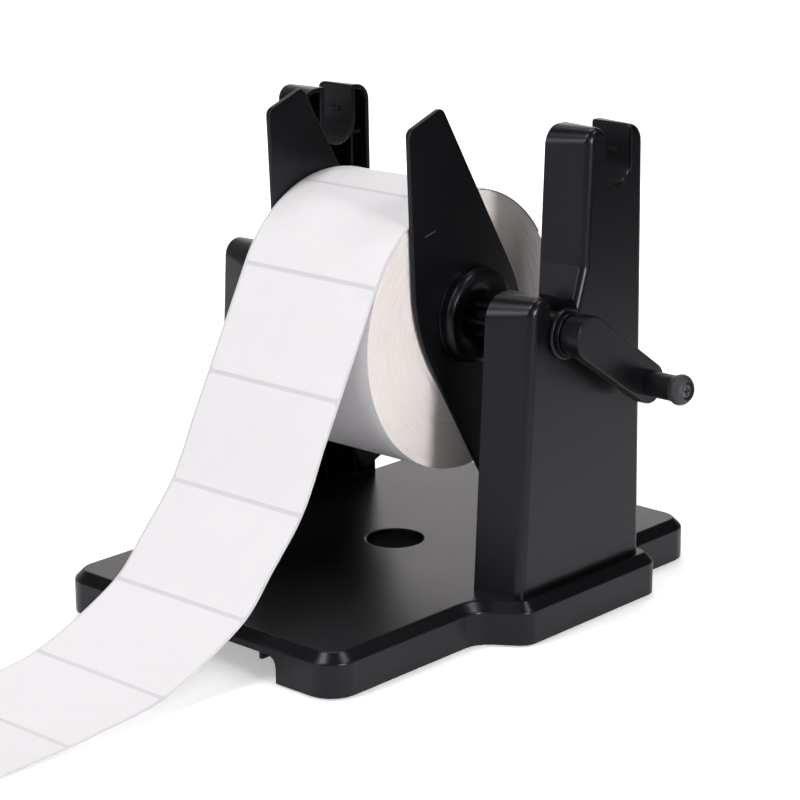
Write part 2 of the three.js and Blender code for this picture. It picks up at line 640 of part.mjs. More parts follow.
function spindleShaft() {
  const ends = turnedX([
    [-SHAFT_END, 0], [-SHAFT_END, FLANGE_RADIUS - 0.6], [-SHAFT_END + 0.6, FLANGE_RADIUS],
    [-FLANGE_X, FLANGE_RADIUS], [-FLANGE_X, JOURNAL_RADIUS],
    [FLANGE_X, JOURNAL_RADIUS], [FLANGE_X, FLANGE_RADIUS],
    [SHAFT_END - 0.6, FLANGE_RADIUS], [SHAFT_END, FLANGE_RADIUS - 0.6], [SHAFT_END, 0],
  ], SPINDLE_Y, SPINDLE_Z, 32);
  const waist = turnedX([
    [-RIBS_END, SHAFT_CORE - 1], [RIBS_END, SHAFT_CORE - 1], [RIBS_END, JOURNAL_RADIUS + 1],
    [-RIBS_END, JOURNAL_RADIUS + 1], [-RIBS_END, SHAFT_CORE - 1],
  ], SPINDLE_Y, SPINDLE_Z, 32);
  const ribbed = prism(ribbedOutline(), -RIBS_END, RIBS_END, alongX);
  const socket = prism(squareOutline(SOCKET_SIDE), SHAFT_END - SOCKET_DEPTH, SHAFT_END + 1, alongX);
  return geometryOf(cut(cut(solid(ends), waist).add(solid(ribbed)), socket));
}
piece("spindle_shaft", spindleShaft(), blackPlastic());

// Crank: outline of the arm, two rounds and their common tangents, in the plane of the side view
function armOutline(inset) {
  const lean = Math.asin((ARM_HUB_ROUND - ARM_END_ROUND) / ARM_REACH);
  const quarter = Math.PI / 2;
  const points = [];
  const steps = 12;
  for (let i = 0; i <= steps; i += 1) {
    const angle = quarter - lean + ((Math.PI + 2 * lean) * i) / steps;
    points.push(new THREE.Vector2(Math.cos(angle), Math.sin(angle)).multiplyScalar(ARM_HUB_ROUND - inset));
  }
  for (let i = 0; i <= steps; i += 1) {
    const angle = -quarter + lean + ((Math.PI - 2 * lean) * i) / steps;
    const point = new THREE.Vector2(Math.cos(angle), Math.sin(angle)).multiplyScalar(ARM_END_ROUND - inset);
    points.push(point.add(new THREE.Vector2(ARM_REACH, 0)));
  }
  const centre = new THREE.Vector2();
  const spindle = new THREE.Vector2(SPINDLE_Y, SPINDLE_Z);
  return points.map((p) => p.rotateAround(centre, ARM_TURN).add(spindle));
}

function crankArm() {
  const arm = loft([
    { at: ARM_BACK, points: armOutline(ARM_BACK_BEVEL) },
    { at: ARM_BACK + ARM_BACK_BEVEL, points: armOutline(0) },
    { at: ARM_FACE - ARM_BEVEL, points: armOutline(0) },
    { at: ARM_FACE - ARM_BEVEL * 0.3, points: armOutline(ARM_BEVEL * 0.35) },
    { at: ARM_FACE, points: armOutline(ARM_BEVEL) },
  ], alongX);
  const ringEnd = CRANK_X + CRANK_RING;
  const groove = CRANK_HUB_RADIUS - 0.8;
  const hub = turnedX([
    [CRANK_X, 0], [CRANK_X, CRANK_RING_RADIUS - 0.5], [CRANK_X + 0.5, CRANK_RING_RADIUS],
    [ringEnd - 0.4, CRANK_RING_RADIUS], [ringEnd, CRANK_RING_RADIUS - 0.4], [ringEnd, groove],
    [ringEnd + 0.7, groove], [ringEnd + 0.7, CRANK_HUB_RADIUS], [ARM_BACK + 2, CRANK_HUB_RADIUS],
    [ARM_BACK + 2, 0],
  ], SPINDLE_Y, SPINDLE_Z, 32);
  const stub = prism(
    squareOutline(SOCKET_SIDE - 2 * REST_GAP), SHAFT_END - SOCKET_DEPTH + REST_GAP, CRANK_X + 1, alongX,
  );
  const bottom = ARM_FACE - SCREW_BITE - REST_GAP;
  const hole = rodX(bottom, ARM_FACE + 1, SCREW_THREAD + THREAD_FIT, KNOB_Y, KNOB_Z, 16);
  return geometryOf(cut(join(arm, hub, stub), hole));
}
piece("crank_arm", crankArm(), blackPlastic());

// Knob and the shouldered screw it turns on
const knobEnd = KNOB_X + KNOB_LENGTH;
const recessFloor = knobEnd - KNOB_RECESS_DEPTH;
const knobBore = SCREW_SHANK + RUN_GAP;
const knob = turnedX([
  [KNOB_X, knobBore], [KNOB_X, KNOB_NECK + 0.5], [KNOB_X + 1, KNOB_NECK], [KNOB_X + 8.5, KNOB_NECK],
  [KNOB_X + 12.6, KNOB_NECK + 0.9], [KNOB_X + 13.2, KNOB_HEAD - 0.2], [KNOB_X + 15, KNOB_HEAD],
  [knobEnd - 3, KNOB_HEAD], [knobEnd - 1.2, KNOB_HEAD - 0.7], [knobEnd - 0.2, KNOB_HEAD - 1.9],
  [knobEnd, KNOB_RECESS + 0.3], [knobEnd - 0.3, KNOB_RECESS], [recessFloor, KNOB_RECESS],
  [recessFloor, knobBore], [KNOB_X, knobBore],
], KNOB_Y, KNOB_Z, 24);
piece("crank_knob", geometryOf(solid(knob)), blackPlastic());

const screwTip = ARM_FACE - SCREW_BITE;
const headFoot = recessFloor + RUN_GAP;
const headTop = headFoot + SCREW_HEAD_THICK;
const knobScrew = solid(turnedX([
  [screwTip, 0], [screwTip, SCREW_THREAD - 0.3], [screwTip + 0.5, SCREW_THREAD],
  [ARM_FACE, SCREW_THREAD], [ARM_FACE, SCREW_SHANK], [headFoot, SCREW_SHANK], [headFoot, SCREW_HEAD],
  [headTop - 0.8, SCREW_HEAD], [headTop, SCREW_HEAD - 1.1], [headTop, 0],
], KNOB_Y, KNOB_Z, 16));
const crossCuts = [[CROSS_HALF, CROSS_REACH], [CROSS_REACH, CROSS_HALF]].map(([y, z]) => (
  box(headTop - CROSS_DEPTH, headTop + 1, KNOB_Y - y, KNOB_Y + y, KNOB_Z - z, KNOB_Z + z)
));
piece("knob_screw", geometryOf(cut(knobScrew, ...crossCuts)), steel());

// Guide plates, the same upside down as upright, with a domed hub on the side away from the roll
function wingGeometry() {
  const half = [
    [...WING_TIP, WING_CORNER, 3],
    [...WING_HEEL, WING_CORNER, 3],
    [-WING_SIDE[0], -WING_SIDE[1], WING_SHOULDER, 5],
  ];
  const corners = [...half, ...half.map(([y, z, ...rest]) => [-y, -z, ...rest])]
    .map(([y, z, ...rest]) => [y + SPINDLE_Y, z + SPINDLE_Z, ...rest]);
  const plate = loft([
    { at: 0, points: contour(corners, WING_EDGE) },
    { at: WING_EDGE, points: contour(corners) },
    { at: WING_THICK - WING_EDGE, points: contour(corners) },
    { at: WING_THICK, points: contour(corners, WING_EDGE) },
  ], alongX);
  const crown = HUB_OUTER - HUB_STEP - HUB_CREST;
  const top = WING_THICK + HUB_HEIGHT;
  const profile = [[1, HUB_INNER], [1, HUB_OUTER], [WING_THICK + HUB_STEP, HUB_OUTER]];
  profile.push([WING_THICK + HUB_STEP + 0.3, HUB_OUTER - HUB_STEP]);
  for (let angle = 0; angle <= 180; angle += 30) {
    const turn = THREE.MathUtils.degToRad(angle);
    const [drop, reach] = angle < 90 ? [crown, crown] : [HUB_FUNNEL, HUB_CREST - HUB_INNER];
    profile.push([top - drop * (1 - Math.sin(turn)), HUB_CREST + reach * Math.cos(turn)]);
  }
  profile.push([1, HUB_INNER]);
  const hub = turnedX(profile, SPINDLE_Y, SPINDLE_Z, 32);
  const bore = prism(ribbedOutline(RUN_GAP), -1, WING_THICK + HUB_HEIGHT + 1, alongX);
  return geometryOf(cut(join(plate, hub), bore));
}
const wing = wingGeometry();
piece("wing_right", wing.clone().translate(RIGHT_WING_X, 0, 0), blackPlastic());
piece("wing_left", mirroredX(wing).translate(LEFT_WING_X, 0, 0), blackPlastic());

// Roll: a card tube and the wound labels, hanging on the spindle's ribs
function tube(inner, outer, sides) {
  return turnedX([
    [ROLL_LEFT, inner], [ROLL_LEFT, outer], [ROLL_RIGHT, outer], [ROLL_RIGHT, inner], [ROLL_LEFT, inner],
  ], ROLL_Y, ROLL_Z, sides);
}
piece("roll_core", geometryOf(solid(tube(CORE_INNER, CORE_INNER + CORE_WALL, 40))), card());
piece("label_roll", geometryOf(solid(tube(CORE_INNER + CORE_WALL + REST_GAP, ROLL_RADIUS, 80))), paper());

// Web: the last turn over the top, then down past the base's edge and along the table
function webLine() {
  const radius = ROLL_RADIUS + RUN_GAP + WEB_THICK / 2;
  const onRoll = (degrees) => {
    const turn = THREE.MathUtils.degToRad(degrees);
    return new THREE.Vector3(0, ROLL_Y + radius * Math.cos(turn), ROLL_Z + radius * Math.sin(turn));
  };
  const down = THREE.MathUtils.degToRad(WEB_LEAVE + 90);
  const tangent = new THREE.Vector3(0, Math.cos(down), Math.sin(down));
  const leave = onRoll(WEB_LEAVE);
  const end = [-WEB_RUN, REST_GAP + WEB_THICK / 2];
  const free = new THREE.CatmullRomCurve3([
    leave,
    ...[0.35, 0.7, 1].map((share) => leave.clone().addScaledVector(tangent, WEB_STRAIGHT * share)),
    ...[...WEB_FALL, end].map(([y, z]) => new THREE.Vector3(0, y - BASE_FRONT, z + TABLE)),
  ], false, "centripetal");
  const line = [];
  for (let angle = WEB_BACK; angle < WEB_LEAVE; angle += 1) line.push(onRoll(angle));
  line.push(...free.getSpacedPoints(300));
  return line.map(({ y, z }) => new THREE.Vector2(y, z));
}

// Points of the web's middle line at given distances from its start, with the way that the line runs there
function walk(line, distances) {
  const lengths = [0];
  line.slice(1).forEach((p, i) => lengths.push(lengths[i] + p.distanceTo(line[i])));
  return distances.map((distance) => {
    let i = 1;
    while (i < line.length - 1 && lengths[i] < distance) i += 1;
    const share = (distance - lengths[i - 1]) / (lengths[i] - lengths[i - 1]);
    const way = line[i].clone().sub(line[i - 1]).normalize();
    return { at: line[i - 1].clone().lerp(line[i], share), way };
  });
}

function labelWeb() {
  const line = webLine();
  let total = 0;
  line.slice(1).forEach((p, i) => { total += p.distanceTo(line[i]); });
  const leaveAt = THREE.MathUtils.degToRad(WEB_LEAVE - WEB_BACK) * (ROLL_RADIUS + RUN_GAP + WEB_THICK / 2);
  const gaps = [];
  for (let at = leaveAt % LABEL_PITCH; at < total - LABEL_GAP; at += LABEL_PITCH) gaps.push(at);
  const marks = [0, total];
  for (let at = WEB_STEP; at < total - WEB_STEP / 2; at += WEB_STEP) marks.push(at);
  const depth = new Map();
  gaps.forEach((at) => {
    [[-0.06, 0], [0, 1], [LABEL_GAP, 1], [LABEL_GAP + 0.06, 0]].forEach(([step, deep]) => {
      marks.push(at + step);
      depth.set(at + step, deep);
    });
  });
  const inGap = (at) => gaps.some((gap) => at > gap && at < gap + LABEL_GAP);
  const near = (at) => !depth.has(at) && gaps.some((gap) => Math.abs(at - gap - LABEL_GAP / 2) < LABEL_GAP);
  const distances = [...new Set(marks)].filter((at) => at >= 0 && !near(at)).sort((a, b) => a - b);
  const stations = walk(line, distances);
  const outer = stations.map(({ at, way }, i) => {
    const sunk = depth.get(distances[i]) ?? (inGap(distances[i]) ? 1 : 0);
    const side = WEB_THICK / 2 - sunk * LABEL_RELIEF;
    return new THREE.Vector2(at.x + way.y * side, at.y - way.x * side);
  });
  const inner = stations.map(({ at, way }) => (
    new THREE.Vector2(at.x - (way.y * WEB_THICK) / 2, at.y + (way.x * WEB_THICK) / 2)
  ));
  const points = [...outer, ...inner.reverse()];
  if (THREE.ShapeUtils.isClockWise(points)) points.reverse();
  return geometryOf(solid(prism(points, ROLL_LEFT, ROLL_RIGHT, alongX)));
}
piece("label_web", labelWeb(), labels());

export default model;
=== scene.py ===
"""Looks of a hand cranked label rewinder: satin black mouldings, a roll of white labels and its free run."""

import math

import bmesh
import bpy
import numpy as np
from mathutils import Matrix, Vector
from mathutils.geometry import tessellate_polygon


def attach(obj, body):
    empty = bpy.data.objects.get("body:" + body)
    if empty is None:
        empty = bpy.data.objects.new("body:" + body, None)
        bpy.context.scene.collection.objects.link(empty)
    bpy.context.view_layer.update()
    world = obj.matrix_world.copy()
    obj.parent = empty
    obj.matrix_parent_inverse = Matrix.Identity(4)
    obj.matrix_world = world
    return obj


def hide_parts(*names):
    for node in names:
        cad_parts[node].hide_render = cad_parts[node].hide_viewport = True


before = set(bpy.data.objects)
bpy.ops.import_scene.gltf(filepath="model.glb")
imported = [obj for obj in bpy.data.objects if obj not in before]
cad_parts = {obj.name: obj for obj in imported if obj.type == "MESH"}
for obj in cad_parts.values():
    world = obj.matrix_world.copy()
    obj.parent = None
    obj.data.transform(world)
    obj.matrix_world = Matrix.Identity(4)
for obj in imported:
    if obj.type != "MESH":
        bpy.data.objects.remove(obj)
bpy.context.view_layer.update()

MM = 0.001

# Sizes in millimetres, as in the part's source
TABLE = -20.5
SPINDLE_Y, SPINDLE_Z = -13.1, 115.7
UPPER_SLOT_Y, UPPER_SLOT_Z = 23.8, 186.2
SLOT_RADIUS = 9.3
SHAFT_CORE, RIB_TIP, RIB_HALF, SHAFT_RIBS = 7.4, 10.5, 0.9, 8
RUN_GAP = 0.3
ROLL_Y, ROLL_Z = -14.53, 107.575
ROLL_LEFT, ROLL_RIGHT = -42.4, 39.8
ROLL_RADIUS = 64.2
CORE_INNER, CORE_WALL = 19.05, 3.0
BASE_FRONT = 150.9


# Camera

CAMERA_ROUND, CAMERA_UP, CAMERA_TILT = 42.525, 15.999, -0.406  # degrees
CAMERA_PLACE = (0.782974, -0.868221, 0.399263)  # metres
LENS, SENSOR = 115.824, 36


def set_camera():
    """A long lens at the photograph's angle: round from the front, up and slightly tilted."""
    yaw, pitch, roll = (math.radians(angle) for angle in (CAMERA_ROUND, CAMERA_UP, CAMERA_TILT))
    back = Vector((math.sin(yaw) * math.cos(pitch), -math.cos(yaw) * math.cos(pitch), math.sin(pitch)))
    right = Vector((0, 0, 1)).cross(back).normalized()
    up = back.cross(right)
    right, up = (right * math.cos(roll) + up * math.sin(roll), up * math.cos(roll) - right * math.sin(roll))
    data = bpy.data.cameras.new("camera")
    data.lens = LENS
    data.sensor_width = SENSOR
    data.clip_end = 20
    camera = bpy.data.objects.new("camera", data)
    bpy.context.scene.collection.objects.link(camera)
    turn = Matrix((right, up, back)).transposed().to_4x4()
    camera.matrix_world = Matrix.Translation(CAMERA_PLACE) @ turn
    bpy.context.scene.camera = camera


set_camera()


# Shader maths

class Socket:
    """A shader value that takes part in Python sums. Each operator adds one Math node."""

    def __init__(self, finish, out):
        self.finish = finish
        self.out = out

    def __add__(self, other):
        return self.finish.maths("ADD", self, other)

    def __mul__(self, other):
        return self.finish.maths("MULTIPLY", self, other)

    def __sub__(self, other):
        return self.finish.maths("SUBTRACT", self, other)

    def __rsub__(self, other):
        return self.finish.maths("SUBTRACT", other, self)

    def __truediv__(self, other):
        return self.finish.maths("DIVIDE", self, other)

    def __pow__(self, other):
        return self.finish.maths("POWER", self, other)

    __radd__ = __add__
    __rmul__ = __mul__

    def step(self, low, high):
        """0 below low, 1 above high and smooth between."""
        return self.finish.node(
            "ShaderNodeMapRange", {"interpolation_type": "SMOOTHSTEP"},
            **{"Value": self, "From Min": low, "From Max": high},
        )


class Finish:
    """One material. node() adds any node; done() joins colour, roughness and bump to the shader."""

    def __init__(self, name):
        self.material = bpy.data.materials.new(name)
        self.material.use_nodes = True
        self.tree = self.material.node_tree
        self.shader = self.tree.nodes["Principled BSDF"]

    def node(self, kind, settings=None, *ordered, out=0, **named):
        """A node of a kind, its settings first, then the values or links of its sockets."""
        made = self.tree.nodes.new(kind)
        for key, value in (settings or {}).items():
            if key == "stops":
                ramp = made.color_ramp
                while len(ramp.elements) < len(value):
                    ramp.elements.new(0.5)
                for element, (at, colour) in zip(ramp.elements, value):
                    element.position = at
                    element.color = (*colour, 1)
            else:
                setattr(made, key, value)
        self.feed(made, {**dict(enumerate(ordered)), **named})
        return Socket(self, made.outputs[out])

    def feed(self, made, values):
        """Links sockets, and sets numbers and colours, on a node's inputs."""
        for key, value in values.items():
            socket = made.inputs[key]
            if isinstance(value, Socket):
                self.tree.links.new(value.out, socket)
            elif isinstance(value, (tuple, list)) and len(value) == 3 and socket.type == "RGBA":
                socket.default_value = (*value, 1)
            else:
                socket.default_value = value

    def maths(self, operation, *values):
        return self.node("ShaderNodeMath", {"operation": operation}, *values)

    def joined(self, *values):
        """A vector of three values."""
        return self.node("ShaderNodeCombineXYZ", None, *values)

    def place(self):
        """The point on the piece, in metres in the part's frame."""
        return self.node("ShaderNodeTexCoord", out="Object")

    def parts(self, vector):
        """A vector's x, y and z."""
        split = self.tree.nodes.new("ShaderNodeSeparateXYZ")
        self.tree.links.new(vector.out, split.inputs[0])
        return [Socket(self, socket) for socket in split.outputs]

    def noise(self, scale, detail=2.0, roughness=0.5, vector=None, stretch=None):
        """Noise of scale waves per metre, or per unit of the vector given."""
        vector = vector or self.place()
        if stretch:
            vector = self.node("ShaderNodeMapping", None, vector, Scale=stretch)
        return self.node("ShaderNodeTexNoise", Vector=vector, Scale=scale, Detail=detail, Roughness=roughness)

    def mixed(self, share, first, second):
        """Colours first and second in shares 1 - share and share."""
        made = self.tree.nodes.new("ShaderNodeMix")
        made.data_type = "RGBA"
        self.feed(made, {0: share, 6: first, 7: second})
        return Socket(self, made.outputs[2])

    def bump(self, height, distance, strength):
        return self.node("ShaderNodeBump", Height=height, Distance=distance, Strength=strength)

    def done(self, **sockets):
        """The material, once the shader's own sockets are fed."""
        self.feed(self.shader, {key.replace("_", " "): value for key, value in sockets.items()})
        return self.material


# Materials

# the third colour is the pale one of scratches, of wear and of the grip's painted sheen
BLACK, GRIP_BLACK, PALE_SCUFF_SHEEN = (0.0036, 0.0034, 0.0042), (0.0060, 0.0057, 0.0066), (0.11, 0.108, 0.115)
SATIN, HANDLED = 0.31, 0.42
SLOT_SKIN_UP, SLOT_SKIN_FROM, SLOT_SKIN_TO = 150, 0.08, 0.16
SCRATCH = ((-44.8, 155.8), (-36.2, 158.0))  # its ends on the right guide plate, y and z
BULB_FROM, BULB_FULL = 124.8, 126.6  # where the grip's neck turns into its bulb, in x


def satin_plastic(name, colour, rough, scuffed_and_sheened=None, dulled=None):
    """Moulded black plastic: a fine spark eroded grain, faint flow clouds and hairline rubs. The next two
    arguments take the finish and give one moulding's own share of pale colour or of dull skin. The pale
    colour is a real scratch on the right plate, and wear mixed with painted sheen on the grip's bulb."""
    f = Finish(name)
    cloud = f.noise(22, 3)
    grain = f.noise(1100, 3, 0.7)
    rub = f.noise(160, 2, 0.7, stretch=(1, 1, 0.08))
    lift = cloud * 0.5 + rub * 0.5
    shade = f.mixed(lift, tuple(c * 0.8 for c in colour), tuple(c * 1.35 for c in colour))
    roughness = cloud * 0.08 + rub * 0.05 + grain * 0.06 + (rough - 0.1)
    skin = f.bump(grain, 0.00004, 0.35)
    if scuffed_and_sheened:
        scuff_sheen_share = scuffed_and_sheened(f)
        # pale colour: real scratches, and on the grip also painted sheen
        shade = f.mixed(scuff_sheen_share, shade, PALE_SCUFF_SHEEN)
        roughness = roughness + scuff_sheen_share * 0.15
    if dulled:
        roughness = roughness + dulled(f) * 0.25
    return f.done(
        Base_Color=shade, Roughness=roughness, Normal=skin,
        Specular_IOR_Level=0.31, Specular_Tint=(0.91, 0.87, 1.0),
    )


def slot_skin(f):
    """Dull skin on the inner walls of the upper U slot, which fades just outside them. The distance from the
    slot's middle is the root of dy squared plus dz squared, and dz counts only below the middle."""
    _, y, z = f.parts(f.place())
    dy, dz = y - UPPER_SLOT_Y * MM, f.maths("MINIMUM", z - UPPER_SLOT_Z * MM, 0.0)
    away = (dy * dy + dz * dz) ** 0.5
    outside = away.step((SLOT_RADIUS + SLOT_SKIN_FROM) * MM, (SLOT_RADIUS + SLOT_SKIN_TO) * MM)
    return (1 - outside) * z.step(SLOT_SKIN_UP * MM, (SLOT_SKIN_UP + 1) * MM)


def plate_marks(f):
    """One hairline scratch on the right plate, and none on the left. A point is on it if it lies between the
    scratch's ends and under a hair's width from the line through them, give or take a little wander."""
    x, y, z = f.parts(f.place())
    (y0, z0), (y1, z1) = SCRATCH
    long = math.hypot(y1 - y0, z1 - z0)
    cy, cz = (y1 - y0) / long, (z1 - z0) / long
    dy, dz = y - y0 * MM, z - z0 * MM
    along = dy * cy + dz * cz
    wander = f.noise(260, 2) * 0.0004 - 0.0002
    across = dz * cy - dy * cz + wander
    width = (across * across) ** 0.5
    line = 1 - width.step(0.00007, 0.00026)
    ends = along.step(0, 0.002) * (1 - along.step((long - 2) * MM, long * MM))
    return line * ends * x.step(0.0, 0.001)


def grip_wear_and_sheen(f):
    """The bulb paler than the dark neck behind it: partly worn pale by the hand, partly painted sheen that
    stands in for its broad highlight.
    """
    x, _, _ = f.parts(f.place())
    return x.step(BULB_FROM * MM, BULB_FULL * MM) * (f.noise(300, 3) * 0.2 + 0.2)


def coated_paper():
    """White label stock: smooth and faintly mottled, a little cool."""
    f = Finish("label_face")
    mottle = f.noise(90, 4, 0.6)
    fibre = f.noise(1400, 3, 0.6)
    shade = f.mixed(mottle, (0.84, 0.812, 0.84), (0.885, 0.86, 0.885))
    return f.done(Base_Color=shade, Roughness=fibre * 0.12 + 0.42, Normal=f.bump(fibre, 0.00002, 0.25))


def liner_paper():
    """Backing paper with a release coat: thinner looking and greyer than the labels on it."""
    f = Finish("liner")
    cloud = f.noise(240, 4, 0.7)
    shade = f.mixed(cloud, (0.69, 0.66, 0.69), (0.76, 0.735, 0.765))
    return f.done(Base_Color=shade, Roughness=cloud * 0.15 + 0.33, Normal=f.bump(cloud, 0.00003, 0.3))


def wound_edges():
    """Cut edges of the wound layers. Noise that changes fast with the distance from the roll's axis gives
    each layer its tone, and noise that changes fast round the axis gives ragged streaks."""
    f = Finish("wound_edges")
    _, y, z = f.parts(f.place())
    dy, dz = y - ROLL_Y * MM, z - ROLL_Z * MM
    radius = (dy * dy + dz * dz) ** 0.5
    turn = f.maths("ARCTAN2", dz, dy)
    layer = f.noise(1.0, 2, 0.7, vector=f.joined(radius * 5200, turn * 2.4, 0.0))
    band = f.noise(1.0, 2, 0.6, vector=f.joined(radius * 900, turn * 1.1, 3.0))
    streak = f.noise(1.0, 3, 0.6, vector=f.joined(radius * 500, turn * 34, 7.0))
    tone = layer * 0.5 + band * 0.2 + streak * 0.3
    shade = f.node("ShaderNodeValToRGB", {"stops": [
        (0.26, (0.64, 0.57, 0.54)), (0.44, (0.78, 0.715, 0.69)), (0.70, (0.86, 0.805, 0.79)),
    ]}, tone)
    skin = f.bump(layer * 0.6 + streak * 0.4, 0.0003, 0.9)
    return f.done(Base_Color=shade, Roughness=0.75, Normal=skin)


def roll_face_paper():
    """The labels under the last turn, seen on the outside of the roll."""
    f = Finish("roll_face")
    mottle = f.noise(70, 4, 0.6)
    shade = f.mixed(mottle, (0.82, 0.79, 0.815), (0.87, 0.845, 0.87))
    return f.done(Base_Color=shade, Roughness=0.42, Normal=f.bump(f.noise(900, 3), 0.00003, 0.25))


def tube_card():
    """Grey brown card wound as a spiral. Its seam is a helix of 52 mm pitch, where the turn round the axis
    plus the place along it, in pitches, is a whole number."""
    f = Finish("tube_card")
    x, y, z = f.parts(f.place())
    turn = f.maths("ARCTAN2", z - ROLL_Z * MM, y - ROLL_Y * MM)
    pitch, above_zero = 0.052, 20.0
    phase = f.maths("FRACT", turn / (2 * math.pi) + x / pitch + above_zero)
    seam = phase.step(0.0, 0.02) * (1 - phase.step(0.97, 0.99))
    fibre = f.noise(600, 4, 0.7)
    base = f.mixed(fibre, (0.33, 0.24, 0.15), (0.50, 0.39, 0.27))
    shade = f.mixed(seam, (0.22, 0.16, 0.10), base)
    return f.done(Base_Color=shade, Roughness=0.85, Normal=f.bump(fibre + seam, 0.0001, 0.5))


def zinc_steel():
    """Zinc plated steel with fine turning marks and dull patches."""
    f = Finish("zinc_steel")
    cloud = f.noise(300, 3, 0.6)
    mark = f.noise(4000, 2, 0.5)
    shade = f.mixed(cloud, (0.12, 0.12, 0.13), (0.22, 0.22, 0.23))
    return f.done(
        Base_Color=shade, Metallic=1.0, Roughness=cloud * 0.2 + 0.32, Normal=f.bump(mark, 0.00002, 0.4),
    )


def pad_rubber():
    """Matt black rubber with a soft bloom."""
    f = Finish("pad_rubber")
    cloud = f.noise(200, 4, 0.6)
    shade = f.mixed(cloud, (0.008, 0.008, 0.008), (0.022, 0.021, 0.02))
    bloom = f.noise(1500, 3)
    return f.done(Base_Color=shade, Roughness=cloud * 0.1 + 0.8, Normal=f.bump(bloom, 0.00004, 0.5))


PLASTIC = satin_plastic("black_plastic", BLACK, SATIN)
TOWER_PLASTIC = satin_plastic("tower_plastic", BLACK, SATIN, dulled=slot_skin)
PLATE_PLASTIC = satin_plastic("plate_plastic", BLACK, SATIN, scuffed_and_sheened=plate_marks)
# the grip's bulb is painted paler: wear and painted sheen
GRIP = satin_plastic("knob_plastic", GRIP_BLACK, HANDLED, scuffed_and_sheened=grip_wear_and_sheen)
LABEL = coated_paper()
LINER = liner_paper()
EDGES = wound_edges()
ROLL_FACE = roll_face_paper()
CARD = tube_card()
STEEL = zinc_steel()
RUBBER = pad_rubber()


# Surfaces

def make(name, points, faces, finishes, body, replaces, slot, sharp, which=None, weighted=True):
    """A piece from points in millimetres. which gives each face's place in finishes."""
    mesh = bpy.data.meshes.new(name)
    mesh.from_pydata((np.asarray(points, float) * MM).tolist(), [], [list(map(int, face)) for face in faces])
    for finish in finishes:
        mesh.materials.append(finish)
    if which is not None:
        mesh.polygons.foreach_set("material_index", np.asarray(which, np.int32))
    work = bmesh.new()
    work.from_mesh(mesh)
    bmesh.ops.remove_doubles(work, verts=work.verts, dist=1e-6)
    bmesh.ops.dissolve_degenerate(work, edges=work.edges, dist=1e-7)
    bmesh.ops.recalc_face_normals(work, faces=work.faces)
    work.to_mesh(mesh)
    work.free()
    dress(mesh, name, body, replaces, sharp, weighted)


def dress(mesh, name, body, replaces, sharp, weighted):
    """An object for a mesh, smooth but for edges sharper than sharp degrees, told to the frame."""
    mesh.polygons.foreach_set("use_smooth", np.ones(len(mesh.polygons), bool))
    mesh.set_sharp_from_angle(angle=math.radians(sharp))
    piece = bpy.data.objects.new(name, mesh)
    bpy.context.scene.collection.objects.link(piece)
    if weighted:
        weigh_normals(piece)
    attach(piece, body)
    if replaces:
        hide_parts(*replaces)
    return piece


def weigh_normals(piece):
    """Large faces keep their normals, so the narrow roundings beside them take up the turn."""
    weigh = piece.modifiers.new("weigh", "WEIGHTED_NORMAL")
    weigh.keep_sharp = True
    weigh.weight = 80


def eased_copy(node, body, finish, ease, angle=28, steps=3, which=None):
    """A CAD solid with its corners eased: coplanar triangles merged, then edges sharper than angle rounded,
    or only those that which gives a share of the full rounding."""
    name = node + "_eased"
    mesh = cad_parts[node].data.copy()
    work = bmesh.new()
    work.from_mesh(mesh)
    bmesh.ops.remove_doubles(work, verts=work.verts, dist=2e-6)
    flat = math.radians(0.6)
    bmesh.ops.dissolve_limit(
        work, angle_limit=flat, verts=work.verts, edges=work.edges, use_dissolve_boundaries=False,
    )
    if which:
        marks = work.edges.layers.float.new("bevel_weight_edge")
        for edge in work.edges:
            edge[marks] = float(which(edge))
    work.to_mesh(mesh)
    work.free()
    mesh.materials.clear()
    mesh.materials.append(finish)
    mesh.name = name
    piece = dress(mesh, name, body, (node,), sharp=35 if which else 180, weighted=False)
    if which:
        picked = np.zeros(len(mesh.edges), np.float32)
        sharp = np.zeros(len(mesh.edges), bool)
        mesh.attributes["bevel_weight_edge"].data.foreach_get("value", picked)
        mesh.attributes["sharp_edge"].data.foreach_get("value", sharp)
        mesh.attributes["sharp_edge"].data.foreach_set("value", sharp & (picked == 0))
    round_off = piece.modifiers.new("ease", "BEVEL")
    round_off.width = ease * MM
    round_off.segments = steps
    round_off.limit_method = "WEIGHT" if which else "ANGLE"
    round_off.angle_limit = math.radians(angle)
    round_off.use_clamp_overlap = not which
    round_off.miter_outer = "MITER_ARC"
    weigh_normals(piece)


def grid_faces(rows, columns, close_rows=False, close_columns=True):
    """Four cornered faces of a grid of points, rows by columns, that may close round either way."""
    r = np.arange(rows if close_rows else rows - 1)[:, None]
    c = np.arange(columns if close_columns else columns - 1)[None]
    up, along = (r + 1) % rows, (c + 1) % columns
    corners = (r * columns + c, r * columns + along, up * columns + along, up * columns + c)
    return np.stack(np.broadcast_arrays(*corners), -1).reshape(-1, 4).tolist()


def lofted(sections, capped=True):
    """Points and faces of closed sections, each n by 3, joined point to point, with end faces if capped."""
    sections = np.asarray(sections, float)
    rows, columns = sections.shape[:2]
    faces = grid_faces(rows, columns)
    if capped:
        faces.append(list(range(columns - 1, -1, -1)))
        faces.append(list(range((rows - 1) * columns, rows * columns)))
    return sections.reshape(-1, 3), faces


